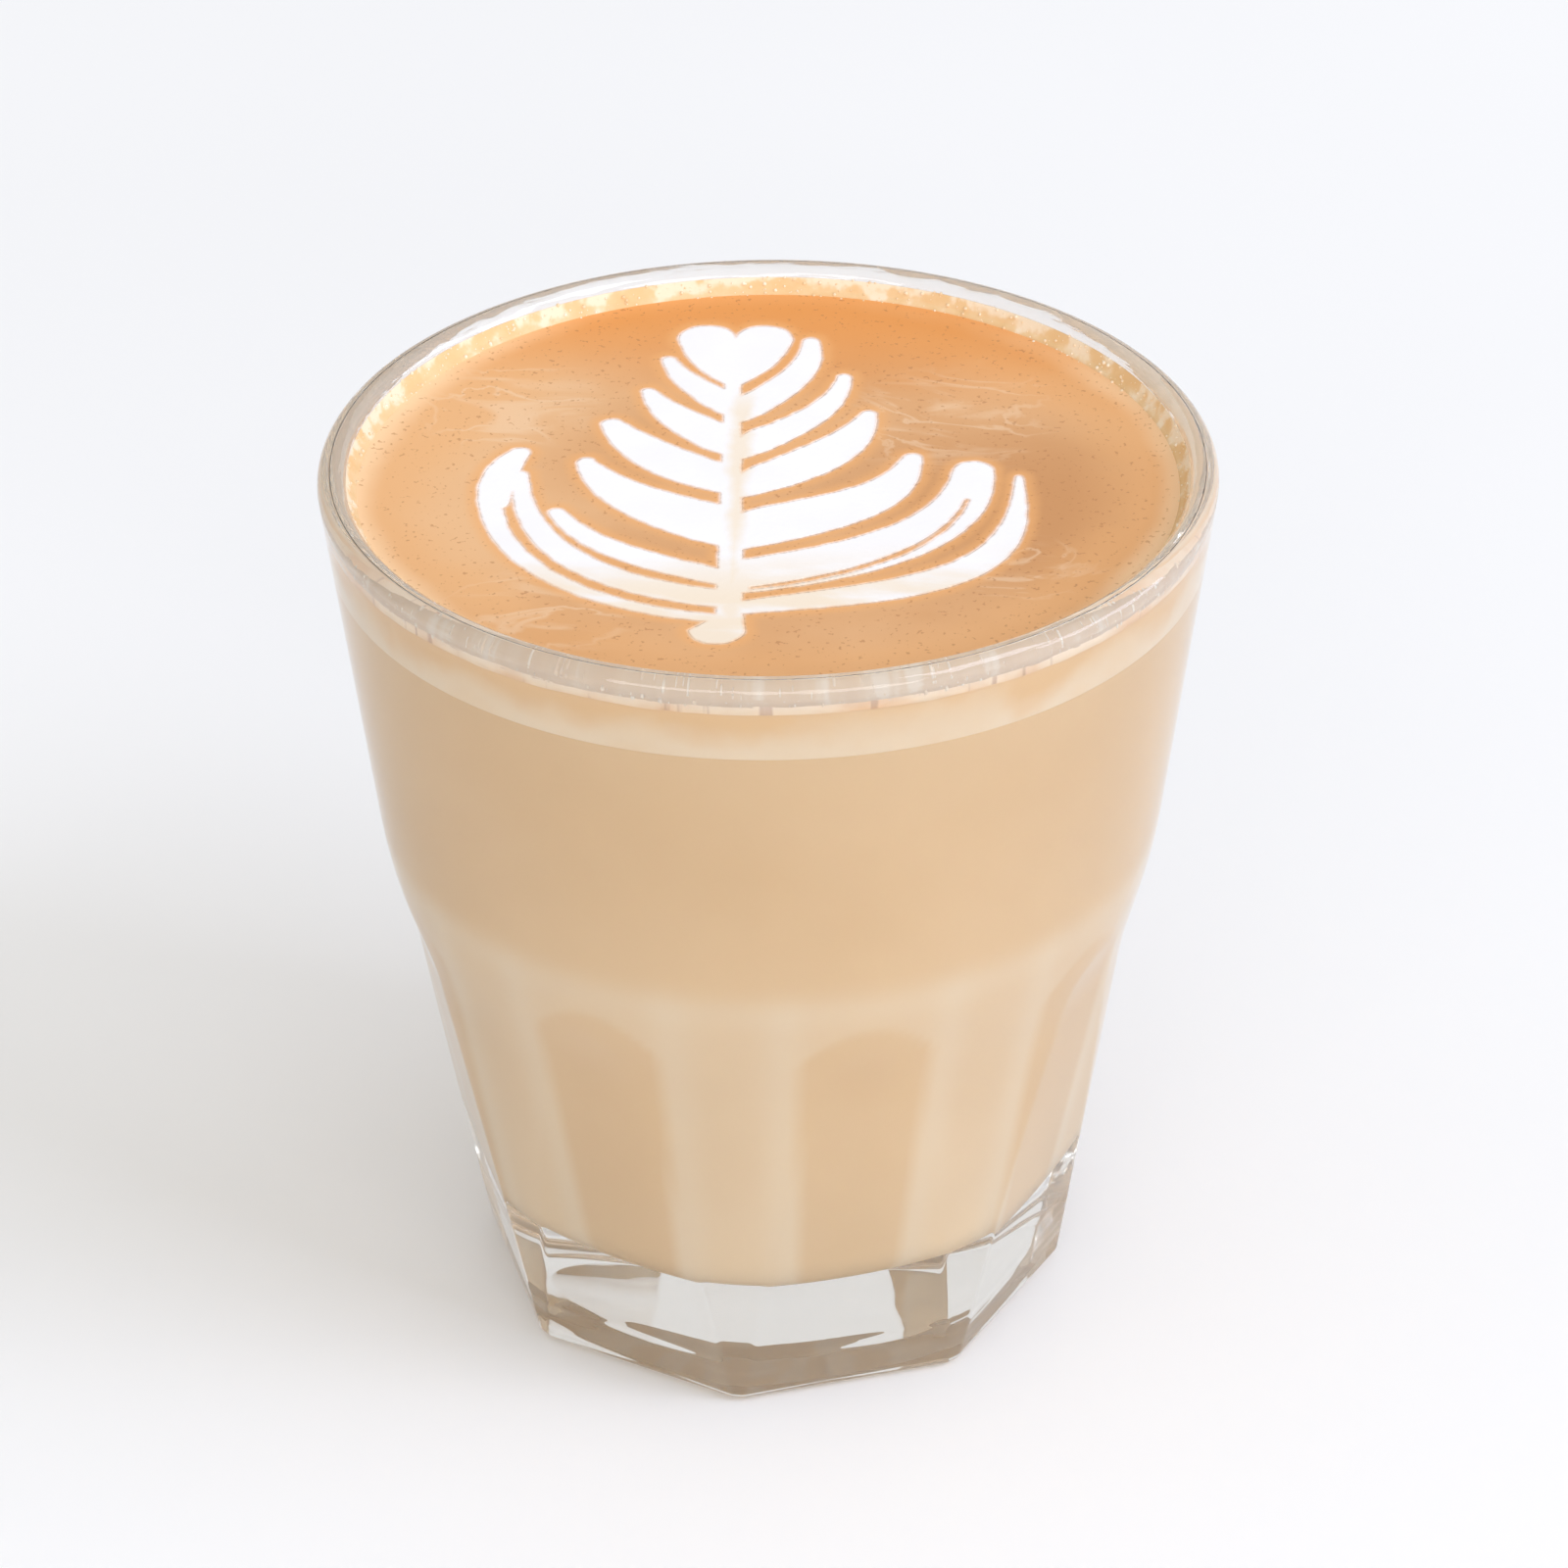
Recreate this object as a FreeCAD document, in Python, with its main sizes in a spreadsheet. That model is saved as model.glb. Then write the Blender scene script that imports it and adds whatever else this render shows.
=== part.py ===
"""Cortado: a small milk coffee with a poured rosetta, in its faceted glass tumbler.

Millimetres, +Z up, origin at the centre of the glass's base. One rib of the
octagonal foot points to -Y. The document has one spreadsheet of driving sizes;
every sub-part reads its sizes from it.
"""

import FreeCAD, Part
import math
import os

import Sketcher

doc = FreeCAD.newDocument("cortado")

# ----------------------------------------------------------------- sizes
# name, value, meaning (lengths in mm, angles in degrees)
SIZES = [
    ("glass_height", 78.4, "lip above the table"),
    ("rim_radius", 37.5, "outside of the lip"),
    ("lip_thickness", 2.4, "glass at the lip"),
    ("waist_height", 44.0, "foot of the smooth upper cone"),
    ("waist_radius", 33.0, "outside of the waist at a rib"),
    ("shoulder_height", 35.0, "where the shoulder meets the ribs"),
    ("shoulder_radius", 30.55, "outside of a rib under the shoulder"),
    ("foot_radius", 25.2, "ribs carried down to the table"),
    ("waist_round", 45.0, "rounding of the waist"),
    ("shoulder_round", 45.0, "rounding under the shoulder"),
    ("flute_count", 8, "flat flutes round the foot"),
    ("flute_foot", 23.46, "middle of a flute at the table, from the axis"),
    ("flute_top_height", 34.0, "where a flute starts to run out"),
    ("flute_top_radius", 30.1, "middle of a flute there, from the axis"),
    ("flute_runout", 30.0, "radius of the arched run-out"),
    ("heel_round", 1.2, "rounding of the heel"),
    ("foot_ring_radius", 20.0, "inside of the ring that the glass stands on"),
    ("foot_dome_radius", 15.0, "flat of the hollow under the foot"),
    ("foot_hollow", 1.0, "depth of the hollow under the foot"),
    ("floor_height", 11.3, "top of the thick glass floor"),
    ("floor_radius", 22.2, "inner wall carried down to the floor"),
    ("floor_round", 4.0, "rounding between floor and inner wall"),
    ("bend_height", 45.0, "bend of the inner wall"),
    ("bend_radius", 29.9, "inner wall at the bend"),
    ("bend_round", 60.0, "rounding of the bend"),
    ("drink_level", 76.0, "surface of the drink"),
    ("foam_depth", 5.6, "milk foam and crema together, seen at the side"),
    ("crema_depth", 1.0, "orange crema on the foam"),
    ("inlay_depth", 0.6, "how deep the white pattern reaches into the crema"),
    ("froth_width", 1.5, "froth left along the wall, seen from above"),
    ("froth_height", 1.7, "how far the froth climbs the wall"),
    ("rosetta_turn", 5.5, "the stem's lean from +Y"),
    ("rosetta_shift", -3.5, "the stem's offset to the side of the centre"),
    ("stem_side", 1.0, "the stem's middle, to the right of the pattern's middle"),
    ("stem_top", 17.0, "point of the heart along the stem"),
    ("stem_foot", -24.5, "where the stem opens into its tail"),
    ("stem_top_half", 0.7, "half width of the stem under the heart"),
    ("stem_foot_half", 1.1, "half width of the stem above the tail"),
    ("tail_half", 2.3, "half width of the tail"),
    ("tail_end", -26.6, "end of the tail"),
    ("heart_notch", 26.0, "notch between the heart's lobes"),
    ("heart_crown", 28.5, "top of the lobes"),
    ("heart_lobe_out", 2.5, "middle of a lobe, out from the stem"),
    ("heart_side_out", 4.9, "widest point of the heart"),
    ("heart_side_up", 25.6, "height of the widest point"),
    ("heart_belly", 0.9, "how far the heart's side bows out"),
]

# One row for each leaf of the rosetta, from the heart down. Its middle line starts at
# the root, out from the pattern's middle and up along the stem, and ends at the tip.
# Headings are in degrees above straight out. Fullness is how far the line keeps each
# heading, as a part of the distance from root to tip. Then the leaf's half widths.
LEAF_WORDS = ["root_out", "root_up", "root_heading", "tip_out", "tip_up", "tip_heading",
              "fullness", "root_half", "belly_half", "tip_half"]
RIGHT_LEAVES = [
    [0.5, 12.2, 52, 6.5, 25.6, 95, 0.38, 1.7, 1.5, 0.7],
    [1.0, 6.1, 42, 9.5, 19.0, 86, 0.38, 1.9, 1.4, 0.6],
    [1.0, -0.8, 38, 11.7, 12.3, 78, 0.40, 1.8, 2.3, 0.7],
    [1.0, -8.4, 26, 15.4, 4.6, 82, 0.41, 3.0, 2.6, 0.8],
    [1.0, -15.9, 15, 20.5, 2.4, 88, 0.41, 2.7, 2.7, 1.7],
    [1.0, -20.9, 12, 24.3, 1.4, 92, 0.53, 1.0, 1.6, 0.3],
]
LEFT_LEAVES = [
    [-0.5, 13.3, 46, 5.6, 22.0, 74, 0.36, 1.8, 1.35, 0.6],
    [-0.5, 6.9, 40, 7.1, 16.2, 70, 0.36, 2.3, 1.8, 0.6],
    [-1.0, 0.1, 26, 9.9, 10.2, 64, 0.36, 2.1, 2.3, 1.0],
    [-1.0, -7.8, 26, 11.8, 3.5, 70, 0.36, 3.2, 2.5, 0.8],
    [-1.0, -16.2, 22, 13.8, -5.2, 66, 0.36, 1.2, 1.25, 0.7],
    [-1.0, -19.5, 10, 17.1, 1.2, 88, 0.43, 1.4, 1.3, 0.6],
    [-1.0, -22.6, 5, 19.5, -2.0, 88, 0.40, 0.6, 0.8, 1.0],
    [19.1, -5.5, 88, 17.5, 5.0, 118, 0.34, 0.9, 1.5, 0.9],
]
# the crema slit inside the fifth leaf on the right
SLIT = [2.5, -17.6, 14, 20.0, -2.6, 78, 0.37, 0.2, 0.35, 0.2]

for side, rows in (("right", RIGHT_LEAVES), ("left", LEFT_LEAVES), ("slit", [SLIT])):
    for number, row in enumerate(rows, start=1):
        for word, value in zip(LEAF_WORDS, row):
            SIZES.append((f"{side}_{number}_{word}", value, f"{side} leaf {number}, {word}"))

sheet = doc.addObject("Spreadsheet::Sheet", "sizes")
for line, (name, value, meaning) in enumerate(SIZES, start=1):
    sheet.set(f"A{line}", meaning)
    sheet.set(f"B{line}", str(value))
    sheet.setAlias(f"B{line}", name)
doc.recompute()


def size(name):
    """The number in the sheet's cell of that name."""
    return float(sheet.get(name))


# ------------------------------------------------------- shared expressions
def cell(name):
    return f"sizes.{name}"


LIP_INSIDE = "(sizes.rim_radius - sizes.lip_thickness)"
FOAM_FLOOR = "(sizes.drink_level - sizes.foam_depth)"
CREMA_FLOOR = "(sizes.drink_level - sizes.crema_depth)"
FROTH_TOP = "(sizes.drink_level + sizes.froth_height)"


def wall_inside(level):
    """Radius of the inner wall at a level above its bend, as an expression."""
    rise = f"({level} - sizes.bend_height) / (sizes.glass_height - sizes.bend_height)"
    return f"(sizes.bend_radius + ({LIP_INSIDE} - sizes.bend_radius) * {rise})"


# ---------------------------------------------------------------- helpers
def new_body(name):
    body = doc.addObject("PartDesign::Body", name)
    body.Label = name
    return body


def origin_feature(body, role):
    return next(item for item in body.Origin.OriginFeatures if item.Role == role)


def upright_sketch(body, name):
    """A sketch on the body's own XZ plane: x is the radius, y is the height."""
    sketch = body.newObject("Sketcher::SketchObject", name)
    sketch.AttachmentSupport = (origin_feature(body, "XZ_Plane"), [""])
    sketch.MapMode = "FlatFace"
    return sketch


def bind(sketch, name, kind, *where, expression):
    """Add one dimension to a sketch and tie it to the sheet."""
    index = sketch.addConstraint(Sketcher.Constraint(kind, *where, 1.0))
    sketch.renameConstraint(index, name)
    sketch.setExpression(f"Constraints.{name}", expression)


def profile(body, name, corners):
    """A closed outline. A corner is two expressions, and a third rounds it."""
    sketch = upright_sketch(body, name)
    count = len(corners)
    first_guess = 30.0
    ring = []
    for number in range(count):
        turn = 2 * math.pi * number / count
        ring.append(FreeCAD.Vector(first_guess * math.cos(turn), first_guess * math.sin(turn), 0))
    for number in range(count):
        sketch.addGeometry(Part.LineSegment(ring[number], ring[(number + 1) % count]), False)
    for number in range(count):
        sketch.addConstraint(Sketcher.Constraint("Coincident", number, 2, (number + 1) % count, 1))
    for number, corner in enumerate(corners):
        bind(sketch, f"r{number}", "DistanceX", number, 1, expression=corner[0])
        bind(sketch, f"z{number}", "DistanceY", number, 1, expression=corner[1])
    doc.recompute()
    for number, corner in enumerate(corners):
        if len(corner) == 3:
            arc = sketch.GeometryCount
            sketch.fillet(number, 1, size(corner[2]), True, True)
            bind(sketch, f"round{number}", "Radius", arc, expression=cell(corner[2]))
    doc.recompute()
    return sketch


def turned(body, kind, name, sketch):
    """A full Revolution or Groove of a sketch about its height axis."""
    feature = body.newObject(kind, name)
    feature.Profile = sketch
    feature.ReferenceAxis = (sketch, ["V_Axis"])
    feature.Angle = 360.0
    sketch.Visibility = False
    doc.recompute()
    return feature


def hoops(shape, radius, height):
    """Names of the circular edges of that radius at that height."""
    found = []
    for number, edge in enumerate(shape.Edges, start=1):
        box = edge.BoundBox
        level = abs(box.ZMin - height) + abs(box.ZMax - height) < 0.001
        reach = max(math.hypot(v.X, v.Y) for v in edge.Vertexes)
        if level and isinstance(edge.Curve, Part.Circle) and abs(reach - radius) < 0.01:
            found.append(f"Edge{number}")
    return found


def edges_on_table(shape):
    """Names of the edges that lie in the plane of the table."""
    found = []
    for number, edge in enumerate(shape.Edges, start=1):
        if abs(edge.BoundBox.ZMax) < 0.001:
            found.append(f"Edge{number}")
    return found


def rounded(body, name, base, edges, expression):
    """A Fillet of the named edges, its radius tied to the sheet."""
    if not edges:
        raise RuntimeError(f"{name}: no edge to round")
    feature = body.newObject("PartDesign::Fillet", name)
    feature.Base = (base, edges)
    feature.setExpression("Radius", expression)
    doc.recompute()
    return feature


# ----------------------------------------------------------------- tumbler
# A pressed glass: a turned blank, eight flat flutes that run out in arches
# under the shoulder, then the hollow foot and the cavity.
tumbler = new_body("tumbler")
blank_outline = profile(tumbler, "blank_outline", [
    ("0", "0"),
    (cell("foot_radius"), "0"),
    (cell("shoulder_radius"), cell("shoulder_height"), "shoulder_round"),
    (cell("waist_radius"), cell("waist_height"), "waist_round"),
    (cell("rim_radius"), cell("glass_height")),
    ("0", cell("glass_height")),
])
blank = turned(tumbler, "PartDesign::Revolution", "blank", blank_outline)

# The flute's section: a straight flat, then an arc that carries it out of the wall.
# It starts below the table and closes in the air outside the rim.
FLUTE_BELOW = 1.0
FLUTE_CLEAR = 1.0
FLUTE_BEYOND = 6.0
flute_outline = upright_sketch(tumbler, "flute_outline")
foot = FreeCAD.Vector(size("flute_foot"), 0, 0)
top = FreeCAD.Vector(size("flute_top_radius"), size("flute_top_height"), 0)
along = (top - foot).normalize()
outward = FreeCAD.Vector(along.y, -along.x, 0)
low = foot - along * (FLUTE_BELOW / along.y)
centre = top + outward * size("flute_runout")
reach = size("rim_radius") + FLUTE_CLEAR
start_angle = math.atan2(-outward.y, -outward.x)
end_angle = math.pi - math.acos((centre.x - reach) / size("flute_runout"))
rise = centre.y + size("flute_runout") * math.sin(end_angle)
beyond = reach + FLUTE_BEYOND
flat = flute_outline.addGeometry(Part.LineSegment(low, top), False)
bow = flute_outline.addGeometry(Part.ArcOfCircle(
    Part.Circle(centre, FreeCAD.Vector(0, 0, 1), size("flute_runout")), end_angle, start_angle), False)
corner_points = [FreeCAD.Vector(reach, rise, 0), FreeCAD.Vector(beyond, rise, 0),
                 FreeCAD.Vector(beyond, -FLUTE_BELOW, 0), low]
sides = []
for start, end in zip(corner_points, corner_points[1:]):
    sides.append(flute_outline.addGeometry(Part.LineSegment(start, end), False))
flute_outline.addConstraint([
    Sketcher.Constraint("Tangent", flat, 2, bow, 2),
    Sketcher.Constraint("Coincident", bow, 1, sides[0], 1),
    Sketcher.Constraint("Coincident", sides[0], 2, sides[1], 1),
    Sketcher.Constraint("Coincident", sides[1], 2, sides[2], 1),
    Sketcher.Constraint("Coincident", sides[2], 2, flat, 1),
    Sketcher.Constraint("Horizontal", sides[0]),
    Sketcher.Constraint("Vertical", sides[1]),
    Sketcher.Constraint("Horizontal", sides[2]),
])
flute_rise = "(sizes.flute_top_radius - sizes.flute_foot) / sizes.flute_top_height"
bind(flute_outline, "low_r", "DistanceX", flat, 1,
     expression=f"sizes.flute_foot - {FLUTE_BELOW} * {flute_rise}")
bind(flute_outline, "low_z", "DistanceY", sides[2], 1, expression=f"-{FLUTE_BELOW}")
bind(flute_outline, "top_r", "DistanceX", flat, 2, expression=cell("flute_top_radius"))
bind(flute_outline, "top_z", "DistanceY", flat, 2, expression=cell("flute_top_height"))
bind(flute_outline, "runout", "Radius", bow, expression=cell("flute_runout"))
bind(flute_outline, "reach", "DistanceX", bow, 1, expression=f"sizes.rim_radius + {FLUTE_CLEAR}")
bind(flute_outline, "beyond", "DistanceX", sides[1], 1,
     expression=f"sizes.rim_radius + {FLUTE_CLEAR + FLUTE_BEYOND}")
doc.recompute()

flute = tumbler.newObject("PartDesign::Pocket", "flute")
flute.Profile = flute_outline
flute.SideType = "Symmetric"
flute.setExpression("Length", "2 * sizes.rim_radius")
flute_outline.Visibility = False
doc.recompute()
if flute.Shape.Volume >= blank.Shape.Volume:
    raise RuntimeError("the flute cuts nothing")

flutes = tumbler.newObject("PartDesign::PolarPattern", "flutes")
flutes.Originals = [flute]
flutes.Axis = (origin_feature(tumbler, "Z_Axis"), [""])
flutes.Angle = 360.0
flutes.setExpression("Occurrences", cell("flute_count"))
tumbler.Tip = flutes
doc.recompute()

heel = rounded(tumbler, "heel", flutes, edges_on_table(flutes.Shape), cell("heel_round"))

hollow_outline = profile(tumbler, "hollow_outline", [
    ("0", "0"),
    (cell("foot_ring_radius"), "0"),
    (cell("foot_dome_radius"), cell("foot_hollow")),
    ("0", cell("foot_hollow")),
])
hollow = turned(tumbler, "PartDesign::Groove", "hollow", hollow_outline)

cavity_outline = profile(tumbler, "cavity_outline", [
    ("0", cell("floor_height")),
    (cell("floor_radius"), cell("floor_height"), "floor_round"),
    (cell("bend_radius"), cell("bend_height"), "bend_round"),
    (LIP_INSIDE, cell("glass_height")),
    ("0", cell("glass_height")),
])
cavity = turned(tumbler, "PartDesign::Groove", "cavity", cavity_outline)
if not cavity.Shape.Volume < hollow.Shape.Volume < heel.Shape.Volume:
    raise RuntimeError("the hollow or the cavity cuts nothing")

# each edge of the lip is rounded by this part of its thickness, which leaves a thin flat
LIP_ROUND_SHARE = 0.46
lip_inside = size("rim_radius") - size("lip_thickness")
lip_edges = hoops(cavity.Shape, size("rim_radius"), size("glass_height"))
lip_edges += hoops(cavity.Shape, lip_inside, size("glass_height"))
lip = rounded(tumbler, "lip", cavity, lip_edges, f"sizes.lip_thickness * {LIP_ROUND_SHARE}")
half_flute = 180.0 / size("flute_count")
tumbler.Placement = FreeCAD.Placement(
    FreeCAD.Vector(0, 0, 0), FreeCAD.Rotation(FreeCAD.Vector(0, 0, 1), half_flute))

# ------------------------------------------------------------- milk coffee
# The drink fills the cavity from the thick floor up to the foam.
milk_coffee = new_body("milk_coffee")
coffee_outline = profile(milk_coffee, "coffee_outline", [
    ("0", cell("floor_height")),
    (cell("floor_radius"), cell("floor_height"), "floor_round"),
    (cell("bend_radius"), cell("bend_height"), "bend_round"),
    (wall_inside(FOAM_FLOOR), FOAM_FLOOR),
    ("0", FOAM_FLOOR),
])
turned(milk_coffee, "PartDesign::Revolution", "coffee", coffee_outline)


# ------------------------------------------------------ milk foam and crema
def layer(name, floor, ceiling):
    """A round layer of the drink between two levels, out to the wall."""
    disc = doc.addObject("Part::Cone", name)
    disc.Label = name
    disc.setExpression("Radius1", wall_inside(floor))
    disc.setExpression("Radius2", wall_inside(ceiling))
    disc.setExpression("Height", f"{ceiling} - {floor}")
    disc.setExpression("Placement.Base.z", floor)
    return disc


milk_foam = layer("milk_foam", FOAM_FLOOR, CREMA_FLOOR)
crema_disc = layer("crema_disc", CREMA_FLOOR, cell("drink_level"))

# ------------------------------------------------------------ froth collar
# Froth that clings to the wall above the surface, thick at its foot.
froth_collar = new_body("froth_collar")
froth_outline = profile(froth_collar, "froth_outline", [
    (f"{wall_inside(cell('drink_level'))} - sizes.froth_width", cell("drink_level")),
    (wall_inside(cell("drink_level")), cell("drink_level")),
    (wall_inside(FROTH_TOP), FROTH_TOP),
    (f"{wall_inside(cell('drink_level'))} - sizes.froth_width / 3",
     "sizes.drink_level + sizes.froth_height / 3"),
])
turned(froth_collar, "PartDesign::Revolution", "froth", froth_outline)


# ----------------------------------------------------------------- rosetta
# White milk poured into the crema. The stem runs up +Y, leaves go out to +X and -X.
def at(out, up):
    return FreeCAD.Vector(out, up, 0)


def bowed(start, end, bow_out):
    """An edge from start to end that bows to its right-hand side."""
    run = end - start
    side = FreeCAD.Vector(run.y, -run.x, 0).normalize()
    curve = Part.BezierCurve()
    curve.setPoles([start, (start + end) * 0.5 + side * (2 * bow_out), end])
    return curve.toShape()


def straight(start, end):
    return Part.LineSegment(start, end).toShape()


def slab(edges):
    """The pattern's piece inside a closed outline, as deep as the inlay."""
    face = Part.Face(Part.Wire(Part.__sortEdges__(edges)))
    return face.extrude(FreeCAD.Vector(0, 0, size("inlay_depth")))


def mirrored(piece):
    return piece.mirror(at(0, 0), FreeCAD.Vector(1, 0, 0))


def middle_line(root, root_heading, tip, tip_heading, fullness):
    """A leaf's middle line: it leaves the root and meets the tip in the headings."""
    hold = (tip - root).Length * fullness
    leave = at(math.cos(root_heading), math.sin(root_heading)) * hold
    arrive = at(math.cos(tip_heading), math.sin(tip_heading)) * hold
    line = Part.BezierCurve()
    line.setPoles([root, root + leave, tip - arrive, tip])
    return line


def width_along(part, root_half, belly_half, tip_half):
    """Half width at a part of the way along, smooth through root, belly and tip."""
    return (root_half * (1 - part) * (1 - 2 * part)
            + belly_half * 4 * part * (1 - part)
            + tip_half * part * (2 * part - 1))


def smooth_through(points):
    curve = Part.BSplineCurve()
    curve.interpolate(points)
    return curve.toShape()


LEAF_STATIONS = 8


def leaf(name):
    """One blunt leaf on the right of the stem, from the sizes of that name."""
    (root_out, root_up, root_heading, tip_out, tip_up, tip_heading,
     fullness, root_half, belly_half, tip_half) = (size(f"{name}_{word}") for word in LEAF_WORDS)
    line = middle_line(at(root_out, root_up), math.radians(root_heading),
                       at(tip_out, tip_up), math.radians(tip_heading), fullness)
    stem_side = at(0, 1)
    under = [line.value(0) - stem_side * root_half]
    over = [line.value(0) + stem_side * root_half]
    for number in range(1, LEAF_STATIONS + 1):
        part = number / LEAF_STATIONS
        ahead = line.tangent(part)[0]
        across = at(-ahead.y, ahead.x) * width_along(part, root_half, belly_half, tip_half)
        under.append(line.value(part) - across)
        over.append(line.value(part) + across)
    blunt_end = line.value(1) + ahead * tip_half
    return slab([smooth_through(under),
                 Part.Arc(under[-1], blunt_end, over[-1]).toShape(),
                 smooth_through(over),
                 straight(under[0], over[0])])


def stem():
    foot_half = size("stem_foot_half")
    top_half = size("stem_top_half")
    middle = size("stem_side")
    foot_up = size("stem_foot")
    heart_up = size("stem_top") + size("heart_belly")
    ends = [at(middle - foot_half, foot_up), at(middle + foot_half, foot_up),
            at(top_half, heart_up), at(-top_half, heart_up)]
    return slab([straight(ends[n], ends[(n + 1) % len(ends)]) for n in range(len(ends))])


def tail():
    """The stem's foot, which widens into a rounded end."""
    half = size("tail_half")
    neck = size("stem_foot_half")
    middle = size("stem_side")
    foot_up = size("stem_foot")
    root = foot_up + half
    edges = [straight(at(middle - neck, root), at(middle + neck, root)),
             straight(at(middle + neck, root), at(half, foot_up)),
             Part.Arc(at(half, foot_up), at(0, size("tail_end")), at(-half, foot_up)).toShape(),
             straight(at(-half, foot_up), at(middle - neck, root))]
    return slab(edges)


def heart_half():
    """The heart's right lobe, from its notch over the crown and down to the point."""
    notch = at(0, size("heart_notch"))
    crown = at(size("heart_lobe_out"), size("heart_crown"))
    side = at(size("heart_side_out"), size("heart_side_up"))
    point = at(0, size("stem_top"))
    return slab([Part.Arc(notch, crown, side).toShape(),
                 bowed(point, side, size("heart_belly")),
                 straight(notch, point)])


right_leaves = [leaf(f"right_{n}") for n in range(1, len(RIGHT_LEAVES) + 1)]
left_leaves = [mirrored(leaf(f"left_{n}")) for n in range(1, len(LEFT_LEAVES) + 1)]
lobes = [heart_half(), mirrored(heart_half())]
milk = right_leaves[0].multiFuse(right_leaves[1:] + left_leaves + lobes)
milk = milk.cut(leaf("slit_1"))
milk = milk.multiFuse([stem(), tail()]).removeSplitter()

rosetta = doc.addObject("Part::Feature", "rosetta")
rosetta.Label = "rosetta"
rosetta.Shape = milk
lean = FreeCAD.Rotation(FreeCAD.Vector(0, 0, 1), size("rosetta_turn"))
offset = lean.multVec(at(size("rosetta_shift"), 0))
offset.z = size("drink_level") - size("inlay_depth")
rosetta.Placement = FreeCAD.Placement(offset, lean)

crema = doc.addObject("Part::Cut", "crema")
crema.Label = "crema"
crema.Base = crema_disc
crema.Tool = rosetta
doc.recompute()

# ------------------------------------------------------------------ export
NODES = [tumbler, milk_coffee, milk_foam, crema, rosetta, froth_collar]

for item in doc.Objects:
    if "Invalid" in item.State or "Error" in item.State:
        raise RuntimeError(f"{item.Label} failed: {item.State}")

os.makedirs("parts", exist_ok=True)
for node in NODES:
    shape = node.Shape
    if shape.isNull() or not shape.isValid():
        raise RuntimeError(f"{node.Label} has no valid shape")
    print(f"{node.Label}: {len(shape.Solids)} solid, {shape.Volume / 1000:.2f} ml, "
          f"z {shape.BoundBox.ZMin:.2f} to {shape.BoundBox.ZMax:.2f}")

for node in NODES:
    node.Shape.exportStep(f"parts/{node.Label}.step")
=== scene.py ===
# %% [markdown]
# # A cortado in a fluted tumbler
# A cortado is a short milk coffee in a small glass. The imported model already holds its
# true sizes, one solid for each thing: the glass, the coffee, the foam, the crema, the
# poured rosetta and the froth at the wall. This lesson gives each of them its looks.
#
# We start by loading that model as a fixed frame. Every later piece is built in the same
# coordinates, in metres, so nothing needs to be fitted by eye.

# %% Load the frame
import math

import bmesh
import bpy
import numpy as np
from mathutils import Matrix, Vector
from mathutils.bvhtree import BVHTree


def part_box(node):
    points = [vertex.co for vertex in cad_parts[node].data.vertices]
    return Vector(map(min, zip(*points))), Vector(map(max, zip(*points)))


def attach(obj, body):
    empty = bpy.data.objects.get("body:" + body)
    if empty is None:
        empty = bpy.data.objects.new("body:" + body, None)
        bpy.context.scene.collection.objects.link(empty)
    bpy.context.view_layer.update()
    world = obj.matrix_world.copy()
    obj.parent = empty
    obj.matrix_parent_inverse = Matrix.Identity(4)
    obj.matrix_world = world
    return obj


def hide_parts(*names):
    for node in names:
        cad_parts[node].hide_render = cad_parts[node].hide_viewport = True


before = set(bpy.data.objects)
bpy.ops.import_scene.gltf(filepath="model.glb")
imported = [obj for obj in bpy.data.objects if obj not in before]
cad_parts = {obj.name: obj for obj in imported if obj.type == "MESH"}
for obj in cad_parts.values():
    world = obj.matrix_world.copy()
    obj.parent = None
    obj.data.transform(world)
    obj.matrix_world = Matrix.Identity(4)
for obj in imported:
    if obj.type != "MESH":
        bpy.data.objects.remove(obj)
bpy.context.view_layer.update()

scene = bpy.context.scene
MM = 0.001
for node_name in sorted(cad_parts):
    low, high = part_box(node_name)
    print(f"{node_name}: z {low.z / MM:.2f} to {high.z / MM:.2f} mm, {2 * high.x / MM:.1f} mm across")

# %% [markdown]
# ## Sizes
# The glass was pressed in a mould: a turned blank with eight flat flutes cut into its
# lower half. We write its few sizes down once, in millimetres, as on a workshop drawing.
# The drink's levels are read from the frame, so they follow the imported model.

# %% Sizes in millimetres
RIM_RADIUS, LIP_THICKNESS, LIP_ROUND = 37.5, 2.4, 1.1
WAIST_RADIUS, WAIST_HEIGHT, WAIST_ROUND = 33.0, 44.0, 45.0
SHOULDER_RADIUS, SHOULDER_HEIGHT, SHOULDER_ROUND = 30.55, 35.0, 45.0
FOOT_RADIUS, HEEL_ROUND = 25.2, 1.2
FLUTES, FLUTE_FOOT = 8, 23.46
FLUTE_TOP_RADIUS, FLUTE_TOP_HEIGHT, FLUTE_RUNOUT = 30.1, 34.0, 30.0
RING_RADIUS, DOME_RADIUS, FOOT_HOLLOW = 20.0, 15.0, 1.0
FLOOR_HEIGHT, FLOOR_RADIUS, FLOOR_ROUND = 11.3, 22.2, 4.0
BEND_RADIUS, BEND_HEIGHT, BEND_ROUND = 29.9, 45.0, 60.0
GLASS_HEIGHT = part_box("tumbler")[1].z / MM
DRINK_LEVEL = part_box("crema")[1].z / MM
CREMA_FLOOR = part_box("crema")[0].z / MM
FOAM_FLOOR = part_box("milk_foam")[0].z / MM
FROTH_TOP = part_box("froth_collar")[1].z / MM


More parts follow.
